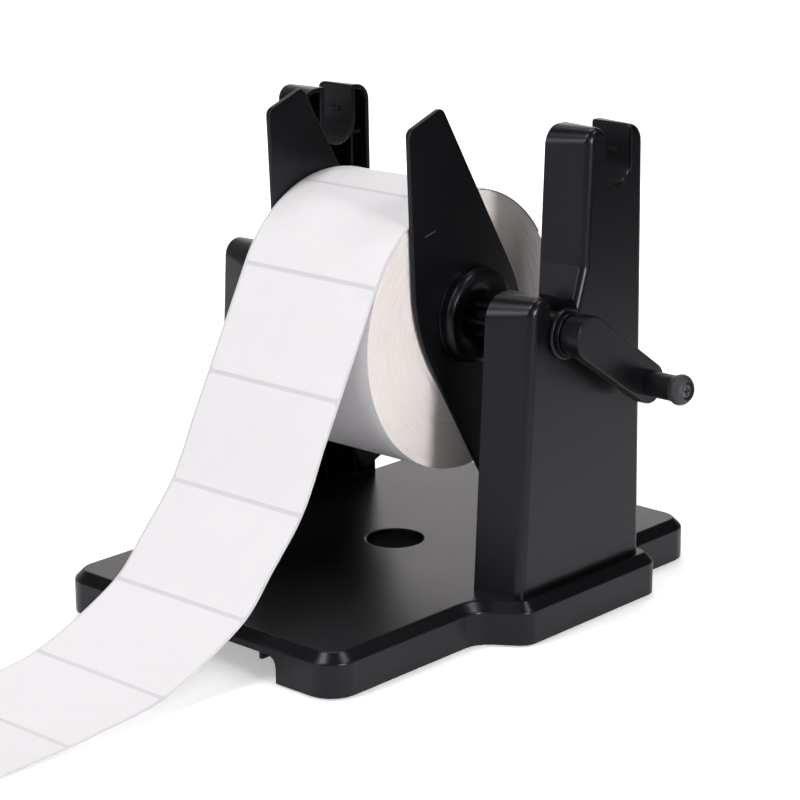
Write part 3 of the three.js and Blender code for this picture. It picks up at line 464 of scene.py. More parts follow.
def turned(profile, y, z, sides=96):
    """Points and faces of a profile of (x, radius) pairs, closed on itself and turned about the line along X
    through (y, z): (x, y + radius cos a, z + radius sin a)."""
    profile = np.asarray(profile, float)
    angle = np.linspace(0, 2 * math.pi, sides, endpoint=False)
    ring = np.stack([np.cos(angle), np.sin(angle)], -1)
    points = np.empty((len(profile), sides, 3))
    points[..., 0] = profile[:, None, 0]
    points[..., 1:] = profile[:, None, 1:2] * ring[None] + (y, z)
    return points.reshape(-1, 3), grid_faces(len(profile), sides, close_rows=True)


def arc(centre, radius, start, end, steps):
    """Points of an arc from start to end degrees."""
    angle = np.radians(np.linspace(start, end, steps + 1))
    return np.stack([centre[0] + radius * np.cos(angle), centre[1] + radius * np.sin(angle)], -1)


def gathered(*solids):
    """Several (points, faces) as one."""
    points, faces, start = [], [], 0
    for p, f in solids:
        points.append(np.asarray(p, float))
        faces.extend([[i + start for i in face] for face in f])
        start += len(p)
    return np.concatenate(points), faces


def crate(low, high):
    """A plain box between two corners, for the ribs inside a moulding."""
    square = [[0, 0], [1, 0], [1, 1], [0, 1]]
    corner = np.array([[*uv, level] for level in (0, 1) for uv in square])
    points = np.asarray(low) + corner * (np.asarray(high) - np.asarray(low))
    return points, [[3, 2, 1, 0], [4, 5, 6, 7], [0, 1, 5, 4], [1, 2, 6, 5], [2, 3, 7, 6], [3, 0, 4, 7]]


def contour(corners, inset=0.0, shares=None, steps=10):
    """A closed outline with rounded corners, anticlockwise, as an n by 2 array. A corner is (u, v, radius).
    Each edge moves inwards by inset times its share. A rounding of radius r turns about the point r to the
    left of the path, and starts r tan(turn / 2) before the corner. Roundings that meet shrink to fit."""
    c = np.asarray([corner[:3] for corner in corners], float)
    shares = np.ones(len(c)) if shares is None else np.asarray(shares, float)
    cross = lambda a, b: a[:, 0] * b[:, 1] - a[:, 1] * b[:, 0]
    left_of = lambda a: np.stack([-a[:, 1], a[:, 0]], -1)
    before = lambda a: np.roll(a, 1, 0)
    way = np.roll(c[:, :2], -1, 0) - c[:, :2]
    way /= np.linalg.norm(way, axis=1, keepdims=True)
    shift = inset * shares
    start = c[:, :2] + left_of(way) * shift[:, None]
    came, from_start = before(way), before(start)
    turn = np.arctan2(cross(came, way), (came * way).sum(1))
    tip = from_start + came * (cross(start - from_start, way) / cross(came, way))[:, None]
    radius = c[:, 2] - np.sign(turn) * (before(shift) + shift) / 2
    half = np.tan(np.abs(turn) / 2)
    reach = np.where(c[:, 2] == 0, 0, np.maximum(radius, 0.05) * half)
    gap = np.linalg.norm(np.roll(tip, -1, 0) - tip, axis=1)
    room = np.minimum(1, gap / np.maximum(reach + np.roll(reach, -1), 1e-9))
    reach = reach * np.minimum(before(room), room)
    bend = reach / half * np.sign(turn)
    first = tip - came * reach[:, None]
    centre = first + left_of(came) * bend[:, None]
    angle = turn[:, None] * np.linspace(0, 1, steps + 1)
    arm = (first - centre)[:, None]
    turned_arm = np.stack([
        arm[..., 0] * np.cos(angle) - arm[..., 1] * np.sin(angle),
        arm[..., 0] * np.sin(angle) + arm[..., 1] * np.cos(angle),
    ], -1)
    points = centre[:, None] + turned_arm
    keep = (c[:, 2:3] > 0) | (np.arange(steps + 1)[None] == 0)
    return points[keep]


def in_x(x, outline):
    """An outline of (y, z) pairs at one x."""
    return np.column_stack([np.full(len(outline), x), outline])


# Towers

TOWER_INNER, TOWER_OUTER = 74.4, 96.8
TOWER_FOOT, TOWER_WALL, TOWER_FACE, TOWER_SOLE = 95.8, 2.2, 2.6, 4.0
TOWER_DRAFT, BACK_DRAFT, TALL_DRAFT = 6.2, 3.6, 4.2
TOWER_EDGE, SLOT_EASE, SLOT_LIP = 3.4, 0.2, 3.0
FRONT_LEAN, BACK_LEAN, TALL_LEAN = 8, 2.4, 3
BLOCK_TOP, TALL_TOP, BACK_TOP = 133.7, 203.3, 201.9
BLOCK_ROUND, TALL_ROUND, BACK_ROUND = 11.5, 9, 8.5
LEAD_LOW, LEAD_HIGH, LEAD_STEP, LEAD_ROUND = 128.5, 142.5, 0.8, 3
LIP_ROUND, LIP_GROWS = 1.2, 4.8
TOWER_RIB, RIB_RECESS, RIB_SINK = 1.6, 1.5, 1.2
RIB_LEVELS = (38, 74, 160, 178.4)
BOSS_PITCH, BOSS_TOP, BOSS_RADIUS = 33, 17, 4.4


def tower_corners(x):
    """Side view of a tower at x: foot, back, upper slot, tall lobe, lead-in, lower slot and low block. The
    front and back edges lean in from the open side to the closed one by a share of the draft. Each corner
    is y, z, radius, and the edge that leaves it: its share of the outer rounding and its wall."""
    share = (x - TOWER_INNER) / (TOWER_OUTER - TOWER_INNER)
    draft, tall, half = TOWER_DRAFT * share, TALL_DRAFT * share, TOWER_FOOT / 2
    back = half - BACK_DRAFT * share
    low_back, low_front = SPINDLE_Y + SLOT_RADIUS, SPINDLE_Y - SLOT_RADIUS
    lip = LIP_ROUND + LIP_GROWS * max(share, 0)
    lead = low_back + LEAD_STEP + tall
    slot, upper = SPINDLE_Z - SLOT_RADIUS, UPPER_SLOT_Z - SLOT_RADIUS
    slot_back, slot_front = UPPER_SLOT_Y + SLOT_RADIUS, UPPER_SLOT_Y - SLOT_RADIUS
    plain = (1, TOWER_WALL)
    mouth = (SLOT_EASE, SLOT_LIP)
    return [
        (-half + draft, 0, 0, 1, TOWER_SOLE), (back, 0, 0, *plain),
        (back - BACK_LEAN, BACK_TOP, BACK_ROUND, *plain),
        (slot_back, BACK_TOP, LIP_ROUND, *mouth), (slot_back, upper, SLOT_RADIUS, *mouth),
        (slot_front, upper, SLOT_RADIUS, *mouth), (slot_front, TALL_TOP, lip, *plain),
        (lead + TALL_LEAN, TALL_TOP, TALL_ROUND, *plain), (lead, LEAD_HIGH, LEAD_ROUND, *plain),
        (low_back, LEAD_LOW, LEAD_ROUND, SLOT_EASE, TOWER_WALL),
        (low_back, slot, SLOT_RADIUS, *mouth), (low_front, slot, SLOT_RADIUS, *mouth),
        (low_front, BLOCK_TOP, lip, *plain), (-half + draft + FRONT_LEAN, BLOCK_TOP, BLOCK_ROUND, *plain),
    ]


def tower_outline(x, inset=0.0, hollow=False):
    """The outer skin's outline, drawn in by inset, or the hollow's, drawn in by inset times the wall."""
    corners = tower_corners(x)
    return in_x(x, contour(corners, inset, [corner[4 if hollow else 3] for corner in corners], 12))


def tower_shell():
    """One closed wall, lofted through outlines: the outer face, its rounded edge, the open side's rim and the
    hollow. On an edge of radius e, x is e(1 - sin a) in from the face and the inset is e(1 - cos a)."""
    rings = []
    for angle in np.radians(np.linspace(90, 0, 9)):
        x = TOWER_OUTER - TOWER_EDGE * (1 - math.sin(angle))
        rings.append(tower_outline(x, TOWER_EDGE * (1 - math.cos(angle))))
        rings[-1][rings[-1][:, 2] < TOWER_EDGE + 0.01, 2] = 0
    for inset, x in ((0, 0.35), (0.1, 0.1), (0.35, 0.0)):
        rings.append(tower_outline(TOWER_INNER + x, inset))
        rings[-1][rings[-1][:, 2] < 0.5, 2] = 0
    for part, x in ((0.86, 0.0), (1, 0.3), (1, TOWER_OUTER - TOWER_FACE - TOWER_INNER)):
        rings.append(tower_outline(TOWER_INNER + x, part, True))
    return lofted(rings)


def tower_nub():
    """A small raised stop on the back wall of the upper slot, its long edges rounded off."""
    wall, x = UPPER_SLOT_Y + SLOT_RADIUS, (TOWER_INNER + TOWER_OUTER) / 2
    z, half, proud, round_off = UPPER_SLOT_Z + 3.3, 1.8, 0.8, 0.6
    side = [
        (wall + 1, z - half, 0), (wall + 1, z + half, 0),
        (wall - proud, z + half / 2, round_off), (wall - proud, z - half / 2, round_off),
    ]
    steps = ((-3, 0.25), (-2.9, 0.08), (-2.7, 0), (2.7, 0), (2.9, 0.08), (3, 0.25))
    return lofted([in_x(x + step, contour(side, inset)) for step, inset in steps])


def tower_ribs():
    """The grid of ribs inside, from just behind the open side to the closed one, and the screws' bosses.
    The ribs end inside the walls. The front wall lies back by its lean times z over the block's top."""
    x0, x1, half = TOWER_INNER + RIB_RECESS, TOWER_OUTER - RIB_SINK, TOWER_RIB / 2
    wall = SLOT_RADIUS + SLOT_LIP / 2
    front = lambda z: -TOWER_FOOT / 2 + FRONT_LEAN * z / BLOCK_TOP + TOWER_DRAFT + RIB_SINK
    tall_front = SPINDLE_Y + SLOT_RADIUS + LEAD_STEP + TALL_DRAFT + TOWER_WALL
    back = TOWER_FOOT / 2 - BACK_DRAFT - BACK_LEAN - 1
    low, high, over, top = RIB_LEVELS
    upright = lambda y, z1: crate((x0, y - half, 1), (x1, y + half, z1))
    level = lambda z, y0, y1: crate((x0, y0, z - half), (x1, y1, z + half))
    boss = [sole_post(y, BOSS_TOP, BOSS_RADIUS) for y in (-BOSS_PITCH, 0, BOSS_PITCH)]
    return [
        upright(UPPER_SLOT_Y - wall, UPPER_SLOT_Z), upright(UPPER_SLOT_Y + wall, UPPER_SLOT_Z),
        upright(SPINDLE_Y, SPINDLE_Z - wall), level(low, front(low), back), level(high, front(high), back),
        level(over, tall_front, back), level(top, UPPER_SLOT_Y + wall, back), *boss,
    ]


def sole_post(y, top, radius, sides=24):
    """A round post on the sole of a tower: (middle + r cos a, y + r sin a) from the sole up to top."""
    angle = np.linspace(0, 2 * math.pi, sides, endpoint=False)
    middle = (TOWER_INNER + TOWER_OUTER) / 2
    ring = np.column_stack([radius * np.cos(angle) + middle, radius * np.sin(angle) + y])
    return lofted([np.column_stack([ring, np.full(sides, z)]) for z in (1, top)])


def tower(side):
    """The right tower's moulding, or its mirror image."""
    points, faces = gathered(tower_shell(), tower_nub(), *tower_ribs())
    name = "tower_right" if side > 0 else "tower_left"
    points = points * (side, 1, 1)
    make(name + "_moulding", points, faces, [TOWER_PLASTIC], "stand", (name,), "black_plastic", sharp=38)


tower(1)
tower(-1)


# Guide plates

WING_RIGHT_X, WING_LEFT_X = 40.3, -42.9
WING_THICK, WING_EDGE = 2.5, 0.6
WING_HALF = [(-19.1, 96.6, 4), (-41.1, 88.5, 4), (-37.1, -2.7, 80)]
HUB_OUTER, HUB_CREST, HUB_INNER, HUB_HEIGHT, HUB_FUNNEL, HUB_STEP = 22.8, 18.5, 9.4, 7.5, 5.6, 0.7
HUB_SLOT_GAP = 0.32


def ribbed_outline(grow):
    """Section of the spindle's ribbed length: a round core with straight sided ribs, all grown by grow. The
    side of a rib of half width h meets the core of radius r at arcsin(h / r) from the rib's middle."""
    core, tip, half = SHAFT_CORE + grow, RIB_TIP + grow, RIB_HALF + grow
    root, crown = math.sqrt(core ** 2 - half ** 2), math.sqrt(tip ** 2 - half ** 2)
    side, pitch = math.asin(half / core), 2 * math.pi / SHAFT_RIBS
    between = side + np.linspace(0, 1, 6)[1:-1] * (pitch - 2 * side)
    rib = np.array([[root, -half], [crown, -half], [crown, half], [root, half]])
    unit = np.concatenate([rib, core * np.column_stack([np.cos(between), np.sin(between)])])
    turn = np.arange(SHAFT_RIBS) * pitch
    cos, sin = np.cos(turn)[:, None], np.sin(turn)[:, None]
    points = np.stack([unit[:, 0] * cos - unit[:, 1] * sin, unit[:, 0] * sin + unit[:, 1] * cos], -1)
    return points.reshape(-1, 2) + (SPINDLE_Y, SPINDLE_Z)


def wing_plate():
    """A flat plate with rounded edges, pierced by the ribbed bore, and the same when turned upside down. On
    an edge of radius e the inset is e(1 - sin a) and x is e(1 - cos a) in from the face."""
    corners = [(way * y + SPINDLE_Y, way * z + SPINDLE_Z, r) for way in (1, -1) for y, z, r in WING_HALF]
    edge = np.radians(np.linspace(0, 90, 5))
    steps = [(WING_EDGE * (1 - math.sin(a)), WING_EDGE * (1 - math.cos(a))) for a in edge]
    outer = [in_x(x, contour(corners, inset, steps=20)) for inset, x in steps]
    outer += [in_x(WING_THICK - x, contour(corners, inset, steps=20)) for inset, x in reversed(steps)]
    bore = ribbed_outline(RUN_GAP)
    hole = [in_x(0, bore), in_x(WING_THICK, bore)]
    points, faces = gathered(lofted(outer, capped=False), lofted(hole, capped=False))
    n, m, first = len(outer[0]), len(bore), len(outer) * len(outer[0])
    for around, within in ((0, first), (first - n, first + m)):
        which = [*range(around, around + n), *range(within, within + m)]
        loops = [[Vector(points[i]) for i in which[:n]], [Vector(points[i]) for i in which[n:]]]
        faces += [[which[i] for i in face] for face in tessellate_polygon(loops)]
    return points, faces


def wing_hub():
    """A domed ring on a low step. Its inner slope is a funnel, cut by the slots that the spindle's ribs
    slide in. Points are (x, r cos a, r sin a), where r is the profile's radius, but no less than the slot's
    there: its tip radius, or its half width over the sine of the angle from its middle."""
    crown = HUB_OUTER - HUB_STEP - HUB_CREST
    top, step = WING_THICK + HUB_HEIGHT, WING_THICK + HUB_STEP
    rise = np.radians(np.linspace(0, 90, 15))
    outer = np.column_stack([top - crown * (1 - np.sin(rise)), HUB_CREST + crown * np.cos(rise)])
    fall = np.radians(np.linspace(94, 180, 22))
    funnel = top - HUB_FUNNEL * (1 - np.sin(fall))
    inner = np.column_stack([funnel, HUB_CREST + (HUB_CREST - HUB_INNER) * np.cos(fall)])
    sunk, ring = WING_THICK - 1, HUB_OUTER - HUB_STEP
    profile = np.array([
        (sunk, HUB_OUTER), (step - 0.25, HUB_OUTER), (step - 0.07, HUB_OUTER - 0.07),
        (step, HUB_OUTER - 0.25), (step, ring + 0.05), (step + 0.2, ring - 0.1),
        *outer, *inner, (sunk, HUB_INNER),
    ])
    tip, half = RIB_TIP + HUB_SLOT_GAP, RIB_HALF + HUB_SLOT_GAP
    edges = [math.asin(half / tip), math.asin(half / HUB_INNER), math.asin(half / HUB_INNER) + 0.004]
    one = np.concatenate([[0, edges[0] / 2], edges, np.linspace(edges[-1], math.pi / SHAFT_RIBS, 8)[1:]])
    one = np.concatenate([-one[:0:-1], one])[:-1]
    off = np.tile(one, SHAFT_RIBS)
    angle = off + np.repeat(np.arange(SHAFT_RIBS) * 2 * math.pi / SHAFT_RIBS, len(one))
    bore = np.minimum(tip, half / np.maximum(np.abs(np.sin(off)), 1e-3))
    radius = np.maximum(profile[:, 1:2], bore)
    x = np.broadcast_to(profile[:, :1], radius.shape)
    points = np.stack([x, SPINDLE_Y + radius * np.cos(angle), SPINDLE_Z + radius * np.sin(angle)], -1)
    return points.reshape(-1, 3), grid_faces(*radius.shape, close_rows=True)


def wing(side, x):
    """The right guide plate with its inner face at x, or its mirror image."""
    points, faces = gathered(wing_plate(), wing_hub())
    name = "wing_right" if side > 0 else "wing_left"
    body = "plate_right" if side > 0 else "plate_left"
    points = points * (side, 1, 1) + (x, 0, 0)
    make(name + "_moulding", points, faces, [PLATE_PLASTIC], body, (name,), "black_plastic", sharp=38)


wing(1, WING_RIGHT_X)
wing(-1, WING_LEFT_X)


# Crank

CRANK_X, COLLAR_THICK = 99.6, 1.7
COLLAR, GROOVE, CRANK_HUB, AXIS_SOLID = 9.9, 8.2, 9.2, 1
STUB_START, STUB_HALF, STUB_ROUND = 84.6, 4.5, 0.8
ARM_BACK, ARM_FACE = 105.5, 112.5
ARM_REACH, ARM_TURN = 52.5, math.radians(-34)
ARM_NEAR, ARM_FAR = 9.9, 9.4
ARM_BACK_EDGE = [(0.6, 0), (0.3, 0.06), (0.08, 0.25), (0, 0.6)]
ARM_FACE_EDGE = [(0, 0.75), (0.05, 0.48), (0.17, 0.26), (0.35, 0.1), (0.55, 0.02), (0.75, 0)]
KNOB_LONG, KNOB_BORE, NECK, BULB, BULB_ROUND = 20.3, 2.6, 5.9, 7.1, 4.3
RECESS, RECESS_DEEP = 3.8, 3.4
KNOB_Y = SPINDLE_Y + ARM_REACH * math.cos(ARM_TURN)
KNOB_Z = SPINDLE_Z + ARM_REACH * math.sin(ARM_TURN)


def arm_outline(inset, steps=40):
    """Two rounds and their outer tangents, which leave both rounds at the angle arcsin((r1 - r2) / reach)
    from square to the arm."""
    lean = math.asin((ARM_NEAR - ARM_FAR) / ARM_REACH)
    near = np.linspace(math.pi / 2 - lean, 3 * math.pi / 2 + lean, steps)
    far = np.linspace(-math.pi / 2 + lean, math.pi / 2 - lean, steps)
    hub = (ARM_NEAR - inset) * np.column_stack([np.cos(near), np.sin(near)])
    end = (ARM_FAR - inset) * np.column_stack([np.cos(far), np.sin(far)]) + (ARM_REACH, 0)
    cos, sin = math.cos(ARM_TURN), math.sin(ARM_TURN)
    return np.concatenate([hub, end]) @ np.array([[cos, sin], [-sin, cos]]) + (SPINDLE_Y, SPINDLE_Z)


def crank_arm():
    """The arm as a loft with rounded edges, a turned hub with a collar and a groove, and the square stub that
    goes into the spindle. Each step of an edge is an inset and a distance from the face."""
    profile = [(inset, ARM_BACK + x) for inset, x in ARM_BACK_EDGE]
    profile += [(inset, ARM_FACE - x) for inset, x in ARM_FACE_EDGE]
    arm = lofted([in_x(x, arm_outline(inset)) for inset, x in profile])
    ring, sunk = CRANK_X + COLLAR_THICK, ARM_BACK + 1
    hub = turned([
        (CRANK_X, AXIS_SOLID), (CRANK_X, COLLAR - 0.2), (CRANK_X + 0.06, COLLAR - 0.06),
        (CRANK_X + 0.2, COLLAR), (ring - 0.2, COLLAR), (ring - 0.06, COLLAR - 0.06), (ring, COLLAR - 0.2),
        (ring, GROOVE + 0.1), (ring + 0.1, GROOVE), (ring + 0.7, GROOVE), (ring + 0.8, GROOVE + 0.1),
        (ring + 0.8, CRANK_HUB - 0.2), (ring + 0.86, CRANK_HUB - 0.06), (ring + 1, CRANK_HUB),
        (sunk, CRANK_HUB), (sunk, AXIS_SOLID),
    ], SPINDLE_Y, SPINDLE_Z)
    signs = ((-1, -1), (1, -1), (1, 1), (-1, 1))
    corners = [(SPINDLE_Y + a * STUB_HALF, SPINDLE_Z + b * STUB_HALF, STUB_ROUND) for a, b in signs]
    stub = lofted([in_x(x, contour(corners)) for x in (STUB_START, CRANK_X + 0.5)])
    points, faces = gathered(arm, hub, stub)
    make("crank_arm_moulding", points, faces, [PLASTIC], "spindle", ("crank_arm",), "black_plastic", sharp=60)


def crank_knob():
    """A turned grip: a straight neck, and a bulb with a round recess in its end."""
    start = ARM_FACE + RUN_GAP
    end = start + KNOB_LONG
    floor = end - RECESS_DEEP
    profile = [
        (start, KNOB_BORE), (start, NECK - 0.15), (start + 0.15, NECK), (start + 11.6, NECK + 0.05),
        (start + 12.6, NECK + 0.2), (start + 13.2, NECK + 0.4),
        *arc((end - BULB_ROUND, BULB - BULB_ROUND), BULB_ROUND, 118, 30, 20),
        (end - 0.25, 4.75), (end - 0.05, 4.5), (end - 0.05, 4.3), (end - 0.3, 4.1),
        (floor + 0.1, RECESS + 0.1), (floor, RECESS), (floor, KNOB_BORE),
    ]
    points, faces = turned(profile, KNOB_Y, KNOB_Z, 72)
    make("crank_knob_grip", points, faces, [GRIP], "knob", ("crank_knob",), "black_plastic", sharp=50)


crank_arm()
crank_knob()


# Base, spindle, screws and pads

def rim(edge):
    """How much of the full rounding an edge of the base gets: half on the chamfer's two long edges, where
    one face slopes and the other turns away from it by more than 20 degrees, and all of it on the mouth of
    the round hole, where the level deck meets an upright wall near the middle."""
    lifts = [face.normal.z for face in edge.link_faces]
    if len(lifts) != 2 or edge.calc_face_angle() < math.radians(20):
        return 0
    middle = (edge.verts[0].co + edge.verts[1].co) / 2
    if max(lifts) > 0.99 and abs(min(lifts)) < 0.1 and middle.z > -0.5 * MM and abs(middle.x) < 20 * MM:
        return 1
    return 0.5 if any(0.3 < lift < 0.95 for lift in lifts) else 0


eased_copy("base_plate", "stand", PLASTIC, ease=1.2, which=rim)
eased_copy("spindle_shaft", "spindle", PLASTIC, ease=0.2, angle=32, steps=2)
eased_copy("knob_screw", "spindle", STEEL, ease=0.12, angle=35, steps=2)
for row in range(1, 4):
    for side in ("left", "right"):
        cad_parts[f"tower_screw_{side}_{row}"].data.materials[0] = STEEL
for row in range(1, 5):
    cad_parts[f"foot_pad_{row}"].data.materials[0] = RUBBER


# Roll

LAYER, LAYER_STEP, ROLL_EDGE, ROLL_SIDES = 0.29, 0.14, 0.35, 240


def wound_roll():
    """The wound labels. Rings a layer apart step in and out, as wound layers do, and each end face joins the
    outside over a narrow bevel. Points are (x(ring, a), radius cos a, radius sin a)."""
    rng = np.random.default_rng(7)
    radii = np.arange(CORE_INNER + CORE_WALL + RUN_GAP, ROLL_RADIUS - 0.05, LAYER)
    angle = np.linspace(0, 2 * math.pi, ROLL_SIDES, endpoint=False)
    wander = np.cumsum(rng.normal(0, 0.05, len(radii)))
    wander -= np.convolve(np.pad(wander, 8, mode="edge"), np.ones(17) / 17, "valid")
    jitter = np.clip(wander + rng.normal(0, 0.035, len(radii)), -LAYER_STEP, LAYER_STEP)
    ring = radii[:, None]
    wave = 0.04 * np.sin(angle * 2 + ring * 0.21) + 0.03 * np.sin(angle * 5 - ring * 0.6)

    def end_face(x, sign, shift):
        depth = x - sign * (0.16 + np.roll(jitter, shift)[:, None] + wave)
        return np.stack([depth, ring * np.cos(angle), ring * np.sin(angle)], -1)

    right, left = end_face(ROLL_RIGHT, 1, 0), end_face(ROLL_LEFT, -1, 31)
    hoops = [ROLL_RIGHT - ROLL_EDGE, *np.linspace(30, -30, 5), ROLL_LEFT + ROLL_EDGE]
    circle = ROLL_RADIUS * np.stack([np.cos(angle), np.sin(angle)], -1)
    outside = np.stack([in_x(x, circle) for x in hoops])
    points = np.concatenate([right, outside, left[::-1]]) + (0, ROLL_Y, ROLL_Z)
    faces = grid_faces(len(points), ROLL_SIDES, close_rows=True)
    which = np.zeros(len(faces), int)
    which[len(radii) * ROLL_SIDES:(len(radii) + len(hoops) - 1) * ROLL_SIDES] = 1
    make(
        "wound_labels", points.reshape(-1, 3), faces, [EDGES, ROLL_FACE], "roll", ("label_roll",), "paper",
        sharp=60, which=which, weighted=False,
    )


def core_tube():
    """A card tube with eased ends."""
    low, high, ease = ROLL_LEFT, ROLL_RIGHT, 0.3
    outer = CORE_INNER + CORE_WALL
    profile = [
        (low + ease, CORE_INNER), (low, CORE_INNER + ease), (low, outer - ease), (low + ease, outer),
        (high - ease, outer), (high, outer - ease), (high, CORE_INNER + ease), (high - ease, CORE_INNER),
    ]
    points, faces = turned(profile, ROLL_Y, ROLL_Z)
    make("card_tube", points, faces, [CARD], "roll", ("roll_core",), "card", sharp=50)


wound_roll()
core_tube()


# Web

WEB_MIDDLE = ROLL_RADIUS + 0.55
WEB_BACK, WEB_LEAVE, WEB_STRAIGHT = 35.0, 152.0, 104.0
WEB_FALL = [(10.2, 44), (-2.2, 30.6), (-16.7, 21.7), (-54, 6.9), (-88, 3.2), (-119, 1.5), (-152, 0.55)]
WEB_STEP, WEB_COLUMNS = 1.5, 13
LINER_UNDER, LINER_OVER, LABEL_OVER = -0.25, 0.1, 0.25
LABEL_PITCH, LABEL_GAP, LABEL_MARGIN, LABEL_CORNER, LABEL_SHORTEST = 52.0, 2.0, 1.3, 1.6, 6


def smooth_run(points, each=60):
    """A centripetal curve through points. Between p1 and p2 it blends the lines through p0, p1, p2, p3,
    whose parameters are the running sum of the square roots of the distances."""
    p = np.asarray(points, float)
    p = np.concatenate([[2 * p[0] - p[1]], p, [2 * p[-1] - p[-2]]])
    pieces = []
    for p0, p1, p2, p3 in zip(p, p[1:], p[2:], p[3:]):
        t = np.cumsum([0, *[math.sqrt(np.linalg.norm(b - a)) for a, b in ((p0, p1), (p1, p2), (p2, p3))]])
        s = np.linspace(t[1], t[2], each, endpoint=False)[:, None]
        a1 = ((t[1] - s) * p0 + (s - t[0]) * p1) / (t[1] - t[0])
        a2 = ((t[2] - s) * p1 + (s - t[1]) * p2) / (t[2] - t[1])
        a3 = ((t[3] - s) * p2 + (s - t[2]) * p3) / (t[3] - t[2])
        b1 = ((t[2] - s) * a1 + (s - t[0]) * a2) / (t[2] - t[0])
        b2 = ((t[3] - s) * a2 + (s - t[1]) * a3) / (t[3] - t[1])
        pieces.append(((t[2] - s) * b1 + (s - t[1]) * b2) / (t[2] - t[1]))
    return np.concatenate([*pieces, p[-2:-1]])


def web_line():
    """Middle line of the web in the side view and its running length: an arc on the roll, then free."""
    turn = np.radians(np.arange(WEB_BACK, WEB_LEAVE, 1.0))
    wrap = np.column_stack([ROLL_Y + WEB_MIDDLE * np.cos(turn), ROLL_Z + WEB_MIDDLE * np.sin(turn)])
    leave = math.radians(WEB_LEAVE)
    start = np.array([ROLL_Y + WEB_MIDDLE * math.cos(leave), ROLL_Z + WEB_MIDDLE * math.sin(leave)])
    way = np.array([math.cos(leave + math.pi / 2), math.sin(leave + math.pi / 2)])
    knots = [start, *[start + way * WEB_STRAIGHT * share for share in (0.35, 0.7, 1)]]
    knots += [np.array([y - BASE_FRONT, z + TABLE]) for y, z in WEB_FALL]
    line = np.concatenate([wrap, smooth_run(knots)])
    length = np.concatenate([[0], np.cumsum(np.linalg.norm(np.diff(line, axis=0), axis=1))])
    return line, length


LINE, LENGTH = web_line()
LEAVE_AT = math.radians(WEB_LEAVE - WEB_BACK) * WEB_MIDDLE


def on_web(across, along, height):
    """Point of the web at across (x), along its length and at a height over its middle: line(along) plus
    height times the line's outward normal. The free run ripples by under a tenth of a millimetre."""
    y = np.interp(along, LENGTH, LINE[:, 0])
    z = np.interp(along, LENGTH, LINE[:, 1])
    ahead, behind = along + 0.6, along - 0.6
    dy = np.interp(ahead, LENGTH, LINE[:, 0]) - np.interp(behind, LENGTH, LINE[:, 0])
    dz = np.interp(ahead, LENGTH, LINE[:, 1]) - np.interp(behind, LENGTH, LINE[:, 1])
    size = np.hypot(dy, dz)
    free = np.clip((along - LEAVE_AT) / 30, 0, 1)
    ripple = 0.05 * np.sin(along * 0.045 + across * 0.02) + 0.04 * np.sin(along * 0.11 - across * 0.05)
    lift = height + free * ripple
    return np.stack([across, y + dz / size * lift, z - dy / size * lift], -1)


def strip(low_x, high_x, start, end, under, over, corner=0.0):
    """A thin slab on the web from start to end of its length, its four corners rounded in plan. At s from an
    end, with s under the corner's radius r, each side is drawn in by r - sqrt(r^2 - (r - s)^2)."""
    rows = np.linspace(start, end, max(2, int((end - start) / WEB_STEP)) + 1)
    if corner:
        ease = corner * (1 - np.cos(np.linspace(0, math.pi / 2, 7)))
        between = rows[(rows > start + corner) & (rows < end - corner)]
        rows = np.unique(np.concatenate([start + ease, end - ease, between]))
    short = np.maximum(corner - np.minimum(rows - start, end - rows), 0)
    pull = corner - np.sqrt(np.maximum(corner ** 2 - short ** 2, 0))
    x0, x1 = low_x + pull, high_x - pull
    across = x0[:, None] + (x1 - x0)[:, None] * np.linspace(0, 1, WEB_COLUMNS)
    along = np.repeat(rows[:, None], WEB_COLUMNS, 1)
    top = on_web(across, along, np.full_like(across, over))
    bottom = on_web(across, along, np.full_like(across, under))
    loop = np.concatenate([top, bottom[:, ::-1]], 1)
    return lofted(loop)


def free_web():
    """The liner, and a label on it every pitch less the gap, cut short where the web ends or starts."""
    total, inside = LENGTH[-1], 0.2
    left, right = ROLL_LEFT + LABEL_MARGIN, ROLL_RIGHT - LABEL_MARGIN
    liner = strip(ROLL_LEFT, ROLL_RIGHT, 0, total, LINER_UNDER, LINER_OVER)
    make("liner", *liner, [LINER], "web", (), "labels", sharp=60, weighted=False)
    first = LEAVE_AT % LABEL_PITCH
    starts = np.arange(first - LABEL_PITCH + LABEL_GAP, total, LABEL_PITCH)
    labels = []
    for start in starts:
        low, high = max(start, inside), min(start + LABEL_PITCH - LABEL_GAP, total - inside)
        if high - low > LABEL_SHORTEST:
            labels.append(strip(left, right, low, high, LINER_OVER, LABEL_OVER, LABEL_CORNER))
    make("web_labels", *gathered(*labels), [LABEL], "web", ("label_web",), "labels", sharp=60, weighted=False)


free_web()


# Stage

STUDIO_TURN = 42.5  # degrees round from the front, as the camera


def light(name, place, aim, size, power, spread=180, colour=(1, 1, 1)):
    """A soft box. A spread under 180 degrees is the grid that such a box carries in front of its cloth."""
    data = bpy.data.lights.new(name, "AREA")
    data.shape = "RECTANGLE"
    data.size, data.size_y = size
    data.energy = power
    data.spread = math.radians(spread)
    data.color = colour
    lamp = bpy.data.objects.new(name, data)
    bpy.context.scene.collection.objects.link(lamp)
    lamp.location = place
    lamp.rotation_euler = (Vector(place) - Vector(aim)).to_track_quat("Z", "Y").to_euler()


